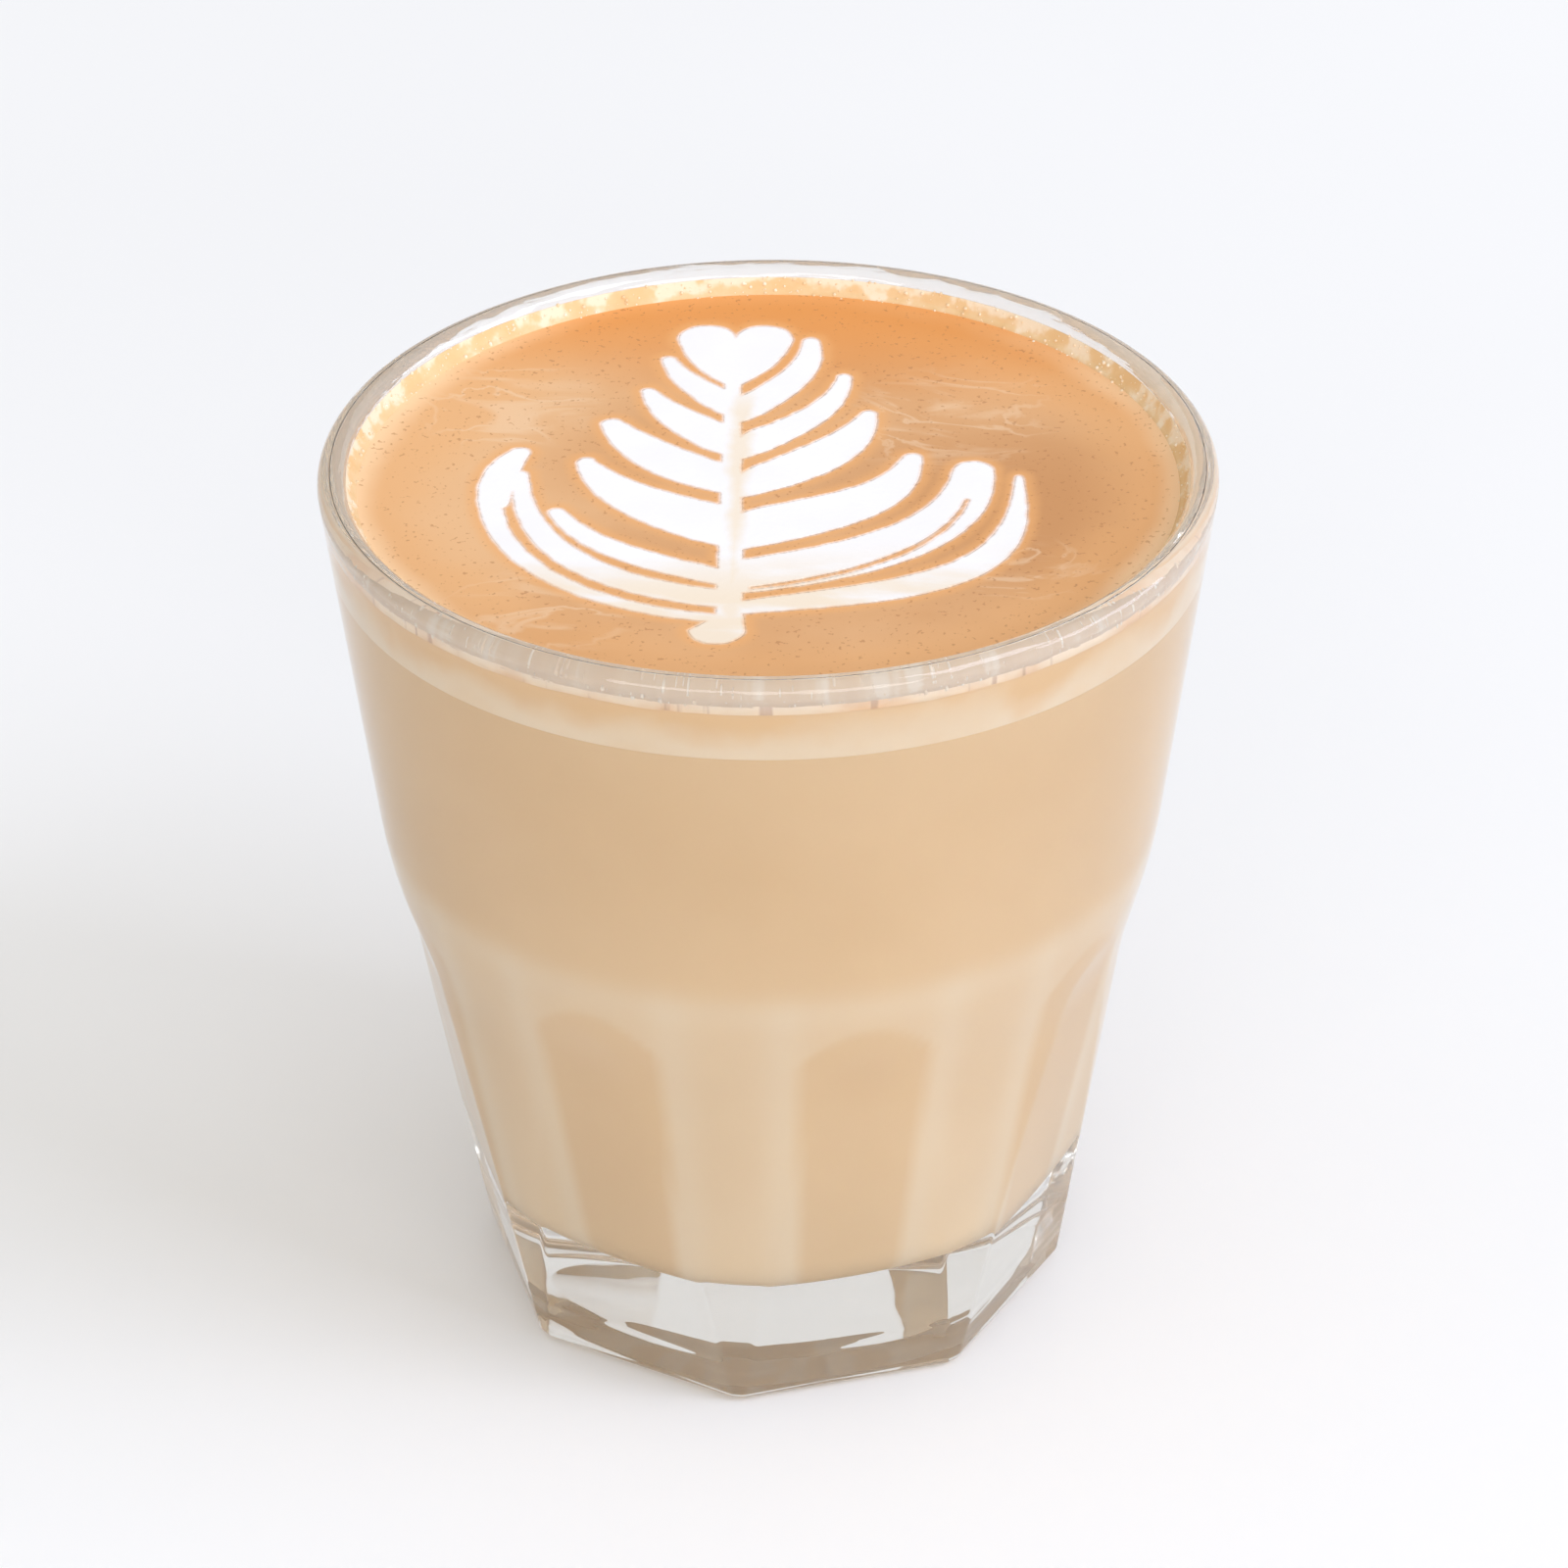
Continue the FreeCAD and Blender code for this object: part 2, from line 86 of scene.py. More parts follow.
def wall_inside(level):
    """Radius of the inner wall at a height above its bend."""
    rise = (level - BEND_HEIGHT) / (GLASS_HEIGHT - BEND_HEIGHT)
    return BEND_RADIUS + (RIM_RADIUS - LIP_THICKNESS - BEND_RADIUS) * rise


print(f"drink from {FLOOR_HEIGHT} to {DRINK_LEVEL:.1f} mm, "
      f"{2 * wall_inside(DRINK_LEVEL):.1f} mm wide at the top")

# %% [markdown]
# ## Camera and colour
# The camera looks down on the glass from about 32 degrees, a little to the right of
# the front rib, through a long lens, as for a small still life. The colours are shown
# as they are written: the view transform is Standard.

# %% Camera
CAMERA_AIM = Vector((0, 0, 40.54)) * MM
CAMERA_DISTANCE, CAMERA_LENS = 557.4 * MM, 149.05
CAMERA_AZIMUTH, CAMERA_ELEVATION = math.radians(7.2), math.radians(31.84)
CAMERA_PAN, CAMERA_TILT, CAMERA_ROLL = math.radians(0.12), math.radians(0.55), math.radians(-0.42)


def aimed_camera():
    """A camera on its orbit, then panned, tilted and rolled a little in place."""
    back = Vector((math.sin(CAMERA_AZIMUTH) * math.cos(CAMERA_ELEVATION),
                   -math.cos(CAMERA_AZIMUTH) * math.cos(CAMERA_ELEVATION),
                   math.sin(CAMERA_ELEVATION)))
    camera = bpy.data.objects.new("camera", bpy.data.cameras.new("camera"))
    scene.collection.objects.link(camera)
    camera.data.lens = CAMERA_LENS
    camera.data.sensor_width = 36.0
    camera.data.clip_start, camera.data.clip_end = 0.05, 20.0
    orbit = (-back).to_track_quat("-Z", "Y").to_matrix().to_4x4()
    own = (Matrix.Rotation(-CAMERA_PAN, 4, "Y") @ Matrix.Rotation(CAMERA_TILT, 4, "X")
           @ Matrix.Rotation(CAMERA_ROLL, 4, "Z"))
    camera.matrix_world = Matrix.Translation(CAMERA_AIM + back * CAMERA_DISTANCE) @ orbit @ own
    return camera


scene.camera = aimed_camera()
scene.view_settings.view_transform = "Standard"
scene.cycles.max_bounces = 24
scene.cycles.transmission_bounces = 24
scene.cycles.glossy_bounces = 12
scene.cycles.diffuse_bounces = 4
print("camera at", [round(number, 3) for number in scene.camera.matrix_world.translation])

# %% [markdown]
# ## Node helpers
# Shaders and Geometry Nodes are both trees of small steps. They can be wired by hand, but
# a script reads better with a few helpers: add makes a node with its inputs, sum_of does
# one step of arithmetic, ramp fades between two levels and blend mixes two colours.

# %% Node helpers
def join(tree, value, socket):
    """Feed a socket from another socket, or set it to a plain value."""
    if isinstance(value, bpy.types.NodeSocket):
        tree.links.new(value, socket)
    else:
        socket.default_value = value


def add(tree, kind, settings=(), **inputs):
    """A new node, its settings and its inputs by name (spaces as underscores)."""
    node = tree.nodes.new(kind)
    for name, value in dict(settings).items():
        setattr(node, name, value)
    for name, value in inputs.items():
        join(tree, value, node.inputs[name.replace("_", " ")])
    return node


def sum_of(tree, operation, *values):
    """One step of arithmetic, as a socket."""
    node = tree.nodes.new("ShaderNodeMath")
    node.operation = operation
    for value, socket in zip(values, node.inputs):
        join(tree, value, socket)
    return node.outputs[0]


def ramp(tree, value, low, high, start=0.0, end=1.0, kind="SMOOTHSTEP"):
    """value from low..high to start..end, held at both ends."""
    node = add(tree, "ShaderNodeMapRange", {"interpolation_type": kind}, Value=value)
    node.inputs["From Min"].default_value = low
    node.inputs["From Max"].default_value = high
    join(tree, start, node.inputs["To Min"])
    join(tree, end, node.inputs["To Max"])
    return node.outputs["Result"]


def blend(tree, share, first, second):
    """A mix of two colours."""
    node = tree.nodes.new("ShaderNodeMix")
    node.data_type = "RGBA"
    join(tree, share, node.inputs[0])
    join(tree, first, node.inputs[6])
    join(tree, second, node.inputs[7])
    return node.outputs[2]


def colour(red, green, blue):
    """A screen colour, 0 to 255, as the linear numbers that shaders use."""
    def linear(part):
        part /= 255.0
        return part / 12.92 if part <= 0.04045 else ((part + 0.055) / 1.055) ** 2.4
    return (linear(red), linear(green), linear(blue), 1.0)


def new_material(name):
    """An empty material: its tree and its output node."""
    material = bpy.data.materials.new(name)
    material.use_nodes = True
    material.node_tree.nodes.clear()
    output = material.node_tree.nodes.new("ShaderNodeOutputMaterial")
    return material, material.node_tree, output


print("screen grey 188 is", round(colour(188, 188, 188)[0], 3), "in linear light")

# %% [markdown]
# ## Table and light
# The glass stands on a plain pale table under soft studio light. A nearly white sky lights
# it evenly. A window lamp, high on the right, gives the drink its lighter side and a soft
# shadow on the left. Two low wide cards, one in front and one at the right, lift the
# upright walls, which a sky lights less than it lights the table. All three lamps are
# large, so no shadow has a hard edge.

# %% Table, sky and lamp
TABLE_HALF, TABLE_DROP = 6.0, 0.0001
SKY_TINT, SKY_STRENGTH = (1.0, 0.988, 0.955, 1.0), 0.73
LAMP_AIM = (0, 0, 0.04)


def table_material():
    """Matt white board, very slightly uneven."""
    material, tree, output = new_material("pale table")
    place = add(tree, "ShaderNodeTexCoord").outputs["Object"]
    cloud = add(tree, "ShaderNodeTexNoise", Vector=place, Scale=4.0, Detail=2.0).outputs["Fac"]
    shade = blend(tree, ramp(tree, cloud, 0.3, 0.7), colour(243, 243, 244), colour(246, 246, 247))
    surface = add(tree, "ShaderNodeBsdfDiffuse", Color=shade)
    tree.links.new(surface.outputs[0], output.inputs["Surface"])
    return material


table_mesh = bpy.data.meshes.new("table")
table_mesh.from_pydata([(TABLE_HALF * x, TABLE_HALF * y, -TABLE_DROP)
                        for x, y in ((-1, -1), (1, -1), (1, 1), (-1, 1))], [], [(0, 1, 2, 3)])
table = bpy.data.objects.new("table", table_mesh)
scene.collection.objects.link(table)
table_mesh.materials.append(table_material())

world = bpy.data.worlds.new("sky")
scene.world = world
world.use_nodes = True
sky = world.node_tree.nodes["Background"]
sky.inputs["Color"].default_value = SKY_TINT
sky.inputs["Strength"].default_value = SKY_STRENGTH


def lamp(name, place, width, height, power, tint):
    """A large rectangular lamp at place, facing the glass."""
    light = bpy.data.lights.new(name, "AREA")
    light.shape = "RECTANGLE"
    light.size, light.size_y, light.energy, light.color = width, height, power, tint
    obj = bpy.data.objects.new(name, light)
    scene.collection.objects.link(obj)
    toward = (Vector(LAMP_AIM) - Vector(place)).to_track_quat("-Z", "Y").to_matrix().to_4x4()
    obj.matrix_world = Matrix.Translation(place) @ toward
    return obj


def on_orbit(azimuth, elevation, distance):
    """A spot round the glass: degrees to the right of the camera, degrees up, metres away."""
    turn, rise = CAMERA_AZIMUTH + math.radians(azimuth), math.radians(elevation)
    return (distance * math.sin(turn) * math.cos(rise), -distance * math.cos(turn) * math.cos(rise),
            distance * math.sin(rise))


window = lamp("window", on_orbit(62, 43, 3.0), 1.4, 1.4, 26.0, (0.92, 1.0, 1.20))
wall_card = lamp("wall_card", on_orbit(0, 15, 2.2), 3.2, 0.9, 30.0, (0.98, 1.0, 1.02))
side_card = lamp("side_card", on_orbit(88, 12, 2.2), 1.8, 0.8, 16.0, (0.94, 1.0, 1.22))
print("lamps", [light.data.energy for light in (window, wall_card, side_card)], "W, sky", SKY_STRENGTH)

# %% [markdown]
# ## An outline with rounded corners
# Everything here is turned: it is an outline spun about the glass's axis. An outline is
# a list of corners, radius and height, and a third number rounds the corner. Each arc
# gets a guard point close beside both ends, so that smooth shading stays flat on the
# straight runs. On a short run the guard moves nearer, or the outline would fold back on
# itself. Long runs are then divided, so that later steps have points to move.

# %% Outline helper
GUARD_SHARE = 0.4


def unit(vector):
    return vector / np.linalg.norm(vector)


def guard_gap(gap, reach, guard):
    """How far beyond an arc's end its guard point stands, on a run of length gap (mm)."""
    return reach + min(guard, GUARD_SHARE * (np.linalg.norm(gap) - reach))


def outline(corners, step=lambda height: 4.0, guard=0.15, arc_turn=11.0):
    """Points (radius, height) in mm along rounded corners, no further apart than step."""
    spots = [np.array(corner[:2], float) for corner in corners]
    path = [spots[0]]
    for before, spot, after, corner in zip(spots, spots[1:], spots[2:], corners[1:]):
        if len(corner) < 3:
            path.append(spot)
            continue
        back, ahead = unit(before - spot), unit(after - spot)
        half = math.acos(np.clip(back @ ahead, -1, 1)) / 2
        reach = corner[2] / math.tan(half)
        centre = spot + unit(back + ahead) * corner[2] / math.sin(half)
        start, end = spot + back * reach - centre, spot + ahead * reach - centre
        sweep = math.pi - 2 * half
        count = max(2, math.ceil(math.degrees(sweep) / arc_turn), math.ceil(sweep * corner[2] / 1.0))
        path.append(spot + back * guard_gap(before - spot, reach, guard))
        for share in np.linspace(0, 1, count + 1):
            path.append(centre + (math.sin((1 - share) * sweep) * start
                                  + math.sin(share * sweep) * end) / math.sin(sweep))
        path.append(spot + ahead * guard_gap(after - spot, reach, guard))
    path.append(spots[-1])
    full = [path[0]]
    for spot in path[1:]:
        gap = spot - full[-1]
        parts = math.ceil(np.linalg.norm(gap) / step((spot[1] + full[-1][1]) / 2) - 1e-6)
        first = full[-1]
        for number in range(1, max(parts, 1) + 1):
            full.append(first + gap * number / max(parts, 1))
    return np.array(full)


sample = outline([(0, 0), (10, 0, 2), (10, 10)], guard=0.5)
print("a square of 10 mm with a 2 mm corner:", sample.round(1).tolist())

# %% [markdown]
# ## Turning and fluting with Geometry Nodes
# The glass follows a rule, so Geometry Nodes can make it. The tree takes the outline's
# points and spins them onto a grid. Then it cuts the flutes: on the outside
# a point may be no further out than the flat of its flute, and the flat runs out in an
# arch under the shoulder. Columns are drawn together beside each edge, so that the
# edge is a clean line of quads. The same tree turns the coffee and the foam, whose
# outlines carry no wall and so get no flutes.

# %% The turning tree
FLUTE_SLOPE = (FLUTE_TOP_RADIUS - FLUTE_FOOT) / FLUTE_TOP_HEIGHT
flute_length = math.hypot(FLUTE_TOP_RADIUS - FLUTE_FOOT, FLUTE_TOP_HEIGHT)
RUNOUT_RADIUS = FLUTE_TOP_RADIUS + FLUTE_RUNOUT * FLUTE_TOP_HEIGHT / flute_length
RUNOUT_HEIGHT = FLUTE_TOP_HEIGHT - FLUTE_RUNOUT * (FLUTE_TOP_RADIUS - FLUTE_FOOT) / flute_length
COLUMNS, BAND_START, BAND_END = 224, 4 / 14, 10 / 14  # 14 columns to half a flute, 6 at its edge
KEEP_FROM_MIDDLE, KEEP_FROM_RIB = 1.7, 1.3            # in edge bands
FLUTE_FADE = 6.0 * MM
TURNING_INPUTS = [
    ("Columns", "NodeSocketInt", COLUMNS), ("Flutes", "NodeSocketInt", FLUTES),
    ("Flute Foot", "NodeSocketFloat", FLUTE_FOOT * MM), ("Flute Slope", "NodeSocketFloat", FLUTE_SLOPE),
    ("Flute Top", "NodeSocketFloat", FLUTE_TOP_HEIGHT * MM), ("Runout", "NodeSocketFloat", FLUTE_RUNOUT * MM),
    ("Runout Radius", "NodeSocketFloat", RUNOUT_RADIUS * MM),
    ("Runout Height", "NodeSocketFloat", RUNOUT_HEIGHT * MM),
    ("Edge Softness", "NodeSocketFloat", 0.15 * MM), ("Edge Band", "NodeSocketFloat", math.radians(1.2)),
    ("Flute End", "NodeSocketFloat", 43.0 * MM), ("Finish", "NodeSocketMaterial", None),
]


def new_tree(name, inputs):
    """A Geometry Nodes tree with named inputs: tree, input node, output node."""
    tree = bpy.data.node_groups.new(name, "GeometryNodeTree")
    tree.interface.new_socket("Geometry", in_out="INPUT", socket_type="NodeSocketGeometry")
    tree.interface.new_socket("Geometry", in_out="OUTPUT", socket_type="NodeSocketGeometry")
    for label, kind, value in inputs:
        socket = tree.interface.new_socket(label, in_out="INPUT", socket_type=kind)
        if value is not None:
            socket.default_value = value
    return tree, tree.nodes.new("NodeGroupInput"), tree.nodes.new("NodeGroupOutput")


def turning_tree():
    """Spin an outline onto a grid, cut the flutes where the outline carries a wall, and close it."""
    tree, given, result = new_tree("turned and fluted", TURNING_INPUTS)
    size = {name: given.outputs[name] for name, _, _ in TURNING_INPUTS}

    def calc(operation, *values):
        return sum_of(tree, operation, *values)

    count = add(tree, "GeometryNodeAttributeDomainSize", Geometry=given.outputs["Geometry"])
    across = calc("ADD", size["Columns"], 1.0)
    grid = add(tree, "GeometryNodeMeshGrid", Vertices_X=count.outputs["Point Count"], Vertices_Y=across)
    index = tree.nodes.new("GeometryNodeInputIndex").outputs[0]
    row = calc("FLOOR", calc("DIVIDE", calc("ADD", index, 0.5), across))
    column = calc("SUBTRACT", index, calc("MULTIPLY", row, across))

    def of_row(kind, field):
        """What the outline holds at this vertex's row."""
        node = add(tree, "GeometryNodeSampleIndex", {"data_type": kind, "domain": "POINT"},
                   Geometry=given.outputs["Geometry"], Index=row)
        join(tree, field, next(s for s in node.inputs if s.name == "Value" and s.enabled))
        return next(s for s in node.outputs if s.enabled)

    spot = add(tree, "ShaderNodeSeparateXYZ",
               Vector=of_row("FLOAT_VECTOR", tree.nodes.new("GeometryNodeInputPosition").outputs[0]))
    radius, height = spot.outputs["X"], spot.outputs["Z"]
    wall_field = add(tree, "GeometryNodeInputNamedAttribute", {"data_type": "FLOAT"}, Name="wall")
    wall = of_row("FLOAT", wall_field.outputs[0])
    fluted = calc("GREATER_THAN", wall, 0.001)

    pitch = calc("DIVIDE", 2 * math.pi, size["Flutes"])
    half_pitch = calc("MULTIPLY", pitch, 0.5)
    turn = calc("DIVIDE", calc("MULTIPLY", column, 2 * math.pi), size["Columns"])
    middle = calc("MULTIPLY", calc("ADD", calc("FLOOR", calc("DIVIDE", turn, pitch)), 0.5), pitch)
    aside = calc("SUBTRACT", turn, middle)
    share = calc("DIVIDE", calc("ABSOLUTE", aside), half_pitch)

    run = calc("MULTIPLY", calc("SUBTRACT", calc("MINIMUM", height, size["Flute Top"]), size["Flute Top"]),
               size["Flute Slope"])
    above = calc("SUBTRACT", calc("MAXIMUM", height, size["Flute Top"]), size["Runout Height"])
    drop = calc("SUBTRACT", calc("MULTIPLY", size["Runout"], size["Runout"]), calc("MULTIPLY", above, above))
    arc = calc("SUBTRACT", size["Runout Radius"], calc("SQRT", calc("MAXIMUM", drop, 0.0)))
    flat = calc("ADD", arc, run)

    edge = calc("ARCCOSINE", calc("MINIMUM", calc("DIVIDE", flat, wall), 1.0))
    band = size["Edge Band"]
    edge = calc("MAXIMUM", edge, calc("MULTIPLY", band, KEEP_FROM_MIDDLE))
    edge = calc("MINIMUM", edge, calc("SUBTRACT", half_pitch, calc("MULTIPLY", band, KEEP_FROM_RIB)))
    inner = calc("SUBTRACT", edge, band)
    outer = calc("SUBTRACT", half_pitch, calc("ADD", edge, band))
    bent = calc("MULTIPLY", ramp(tree, share, 0.0, BAND_START, kind="LINEAR"), inner)
    bent = calc("ADD", bent, calc("MULTIPLY", ramp(tree, share, BAND_START, BAND_END, kind="LINEAR"),
                                  calc("MULTIPLY", band, 2.0)))
    bent = calc("ADD", bent, calc("MULTIPLY", ramp(tree, share, BAND_END, 1.0, kind="LINEAR"), outer))
    bent = calc("MULTIPLY", bent, calc("SIGN", aside))
    past = calc("DIVIDE", calc("SUBTRACT", height, size["Flute End"]), FLUTE_FADE)
    hold = calc("MULTIPLY", fluted, calc("SUBTRACT", 1.0, ramp(tree, past, 0.0, 1.0)))
    swing = calc("ADD", calc("MULTIPLY", aside, calc("SUBTRACT", 1.0, hold)), calc("MULTIPLY", bent, hold))

    cut = calc("SMOOTH_MIN", wall, calc("DIVIDE", flat, calc("COSINE", swing)), size["Edge Softness"])
    reach = calc("SUBTRACT", radius, calc("MULTIPLY", fluted, calc("SUBTRACT", wall, cut)))
    angle = calc("ADD", middle, swing)
    place = add(tree, "ShaderNodeCombineXYZ", X=calc("MULTIPLY", reach, calc("COSINE", angle)),
                Y=calc("MULTIPLY", reach, calc("SINE", angle)), Z=height)
    moved = add(tree, "GeometryNodeSetPosition", Geometry=grid.outputs["Mesh"], Position=place.outputs[0])
    closed = add(tree, "GeometryNodeMergeByDistance", Geometry=moved.outputs[0], Distance=0.00001)
    outward = add(tree, "GeometryNodeFlipFaces", Mesh=closed.outputs[0])
    smooth = add(tree, "GeometryNodeSetShadeSmooth", Geometry=outward.outputs[0], Shade_Smooth=True)
    real = add(tree, "GeometryNodeRealizeInstances", Geometry=smooth.outputs[0])
    dressed = add(tree, "GeometryNodeSetMaterial", Geometry=real.outputs[0], Material=size["Finish"])
    tree.links.new(dressed.outputs[0], result.inputs[0])
    return tree


TURNING = turning_tree()
print("turning tree:", len(TURNING.nodes), "nodes")

# %% [markdown]
# ## From tree to plain mesh
# A tree works on an object through a modifier. The next helper puts the modifier on a
# source mesh, sets its inputs by their identifiers, reads the finished mesh and clears
# the source away. What is left is a plain mesh at the origin, with faces outward.

# %% From tree to plain mesh
def made_by(tree, source, name, finish, **inputs):
    """A plain object made by a tree from a source mesh."""
    maker = bpy.data.objects.new(name + "_source", source)
    scene.collection.objects.link(maker)
    modifier = maker.modifiers.new("make", "NODES")
    modifier.node_group = tree
    wanted = {label.replace("_", " "): value for label, value in inputs.items()}
    wanted["Finish"] = finish
    for item in tree.interface.items_tree:
        if item.item_type == "SOCKET" and item.in_out == "INPUT" and item.name in wanted:
            modifier[item.identifier] = wanted.pop(item.name)
    if wanted:
        raise RuntimeError(f"{name}: the tree has no input {sorted(wanted)}")
    mesh = bpy.data.meshes.new_from_object(maker.evaluated_get(bpy.context.evaluated_depsgraph_get()))
    maker.modifiers.clear()
    bpy.data.objects.remove(maker)
    mesh.name = name
    for label in [a.name for a in mesh.attributes if a.name in ("wall", "UVMap")]:
        mesh.attributes.remove(mesh.attributes[label])
    piece = bpy.data.objects.new(name, mesh)
    scene.collection.objects.link(piece)
    return piece


def turned_piece(name, path, finish, wall=None):
    """Spin an outline (mm) into a closed piece. wall is the unrounded radius where flutes may cut."""
    source = bpy.data.meshes.new(name + "_outline")
    source.from_pydata([(r * MM, 0.0, z * MM) for r, z in path], [], [])
    cut = source.attributes.new("wall", "FLOAT", "POINT")
    if wall is not None:
        cut.data.foreach_set("value", np.array(wall, np.float32) * MM)
    return made_by(TURNING, source, name, finish)


def report(piece):
    """Print a piece's triangles and open edges, and its volume as a check that faces point outward."""
    mesh = piece.data
    mesh.calc_loop_triangles()
    shape = bmesh.new()
    shape.from_mesh(mesh)
    volume = shape.calc_volume(signed=True) * 1e6
    loose = sum(1 for edge in shape.edges if not edge.is_manifold)
    shape.free()
    print(f"{piece.name}: {len(mesh.loop_triangles)} triangles, {volume:.2f} ml, {loose} open edges")


print(COLUMNS // FLUTES, "columns to a flute")

# %% [markdown]
# ## Glass
# Clear glass bends light by its index of refraction, 1.5, and mirrors a little at its
# surface. Pressed glass is never quite even: broad faint ripples lie on its walls, and the
# thick foot has deeper ones, which break up what is seen through it. The lip was melted
# smooth by a flame. Its many fine waves run round it and scatter light, so it looks
# a little milky. A bump gives the waves. The milkiness is painted sheen: a small loss of
# clearness lets a white share show, faint over the whole glass and stronger at the lip, in
# place of the light that the waves would scatter.

# %% Glass material
GLASS_INDEX = 1.5
LIP_WAVES, FOOT_WAVES, LIP_BLUR = 3.5, 6.0, 0.05
# Less clearness shows a white share: painted sheen, faint over the whole glass and stronger at the lip
CLEAR, CLEAR_AT_LIP = 0.955, 0.80


def lip_waves(tree, axes):
    """Fine waves that run round the lip: they change fast with height and radius only."""
    radius = sum_of(tree, "SQRT", sum_of(tree, "ADD", sum_of(tree, "POWER", axes["X"], 2.0),
                                         sum_of(tree, "POWER", axes["Y"], 2.0)))
    across = sum_of(tree, "ADD", sum_of(tree, "MULTIPLY", axes["Z"], 7.0),
                    sum_of(tree, "MULTIPLY", radius, 4.0))
    round_lip = add(tree, "ShaderNodeCombineXYZ", X=axes["X"], Y=axes["Y"], Z=across).outputs[0]
    wave = add(tree, "ShaderNodeTexNoise", Vector=round_lip, Scale=130.0, Detail=2.0).outputs["Fac"]
    return sum_of(tree, "MULTIPLY", wave, ramp(tree, axes["Z"], 0.0745, 0.0768, 0.0, LIP_WAVES))


def foot_waves(tree, place, height):
    """Flat-lying waves in the thick foot."""
    flat = add(tree, "ShaderNodeMapping", Vector=place, Scale=(0.5, 0.5, 3.5)).outputs[0]
    wave = add(tree, "ShaderNodeTexNoise", Vector=flat, Scale=110.0, Detail=1.0).outputs["Fac"]
    return sum_of(tree, "MULTIPLY", wave, ramp(tree, height, 0.0085, 0.0035, 0.0, FOOT_WAVES))


def glass_material():
    """Clear pressed glass: faint broad ripples, with stronger waves at the lip and in the foot."""
    material, tree, output = new_material("clear glass")
    place = add(tree, "ShaderNodeTexCoord").outputs["Object"]
    axes = add(tree, "ShaderNodeSeparateXYZ", Vector=place).outputs
    height = axes["Z"]
    ripple = add(tree, "ShaderNodeTexNoise", Vector=place, Scale=55.0, Detail=1.0).outputs["Fac"]
    waves = sum_of(tree, "ADD", sum_of(tree, "ADD", ripple, lip_waves(tree, axes)),
                   foot_waves(tree, place, height))
    bump = add(tree, "ShaderNodeBump", Strength=0.25, Distance=0.0002, Height=waves)
    glass = add(tree, "ShaderNodeBsdfPrincipled", IOR=GLASS_INDEX, Normal=bump.outputs[0],
                Roughness=ramp(tree, height, 0.0755, 0.0772, 0.0, LIP_BLUR))
    glass.inputs["Base Color"].default_value = (1.0, 1.0, 1.0, 1.0)
    glass.inputs["Transmission Weight"].default_value = CLEAR
    # Painted sheen: the white share that less clearness lets show, most at the lip
    clearness = ramp(tree, height, 0.0752, 0.0768, CLEAR, CLEAR_AT_LIP)
    tree.links.new(clearness, glass.inputs["Transmission Weight"])
    tree.links.new(glass.outputs[0], output.inputs["Surface"])
    return material


GLASS = glass_material()
print("glass index", GLASS_INDEX, "clearness", CLEAR, "and", CLEAR_AT_LIP, "at the lip")

# %% [markdown]
# ## Tumbler
# The outside runs from the hollow under the foot, round the heel, up the ribs, over
# the waist and to the lip. The inside comes back down to the thick floor. The heel's
# rounding follows the flutes because the cut is measured from the unrounded rib line.

# %% Tumbler
RIB_SLOPE = (SHOULDER_RADIUS - FOOT_RADIUS) / SHOULDER_HEIGHT
CUT_FROM_RADIUS, HEEL_ZONE = 22.5, 5.0


def outside_step(height):
    """Rows close together where the arches are, wider elsewhere."""
    if height < 0.01:
        return 30.0
    return 0.55 if 33.0 < height < 49.0 else 1.6


outside = outline([(0, FOOT_HOLLOW), (DOME_RADIUS, FOOT_HOLLOW, 1.5), (RING_RADIUS, 0, 0.8),
                   (FOOT_RADIUS, 0, HEEL_ROUND), (SHOULDER_RADIUS, SHOULDER_HEIGHT, SHOULDER_ROUND),
                   (WAIST_RADIUS, WAIST_HEIGHT, WAIST_ROUND), (RIM_RADIUS, GLASS_HEIGHT, LIP_ROUND),
                   (RIM_RADIUS - LIP_THICKNESS / 2, GLASS_HEIGHT)], step=outside_step)
inside = outline([(RIM_RADIUS - LIP_THICKNESS / 2, GLASS_HEIGHT),
                  (RIM_RADIUS - LIP_THICKNESS, GLASS_HEIGHT, LIP_ROUND),
                  (BEND_RADIUS, BEND_HEIGHT, BEND_ROUND),
                  (FLOOR_RADIUS, FLOOR_HEIGHT, FLOOR_ROUND), (0, FLOOR_HEIGHT)])
rib_line = FOOT_RADIUS + RIB_SLOPE * outside[:, 1]
outside_wall = np.where(outside[:, 0] > CUT_FROM_RADIUS,
                        np.maximum(outside[:, 0], np.where(outside[:, 1] < HEEL_ZONE, rib_line, 0.0)), 0.0)
tumbler = turned_piece("tumbler_glass", np.vstack([outside, inside[1:]]), GLASS,
                       wall=np.concatenate([outside_wall, np.zeros(len(inside) - 1)]))
report(tumbler)

# %% [markdown]
# ## Coffee, foam and froth materials
# Milk coffee is opaque and matt against the glass, with a colour that drifts slowly,
# as milk never mixes quite evenly. Foam is paler and turns golden towards the crema. One
# recipe serves these and the froth: two tones and a cloud, with a third tone higher up
# where wanted. It also reads a stored number of painted light, which the coffee's points
# will carry, and lightens the colour by it: that is painted light, not the milk's own tone.

# %% Coffee and foam materials
RAGGED_EDGE = 0.009
# The pale tone that the painted light lifts the coffee's colour towards
PAINTED_LIGHT_TONE = colour(255, 246, 226)


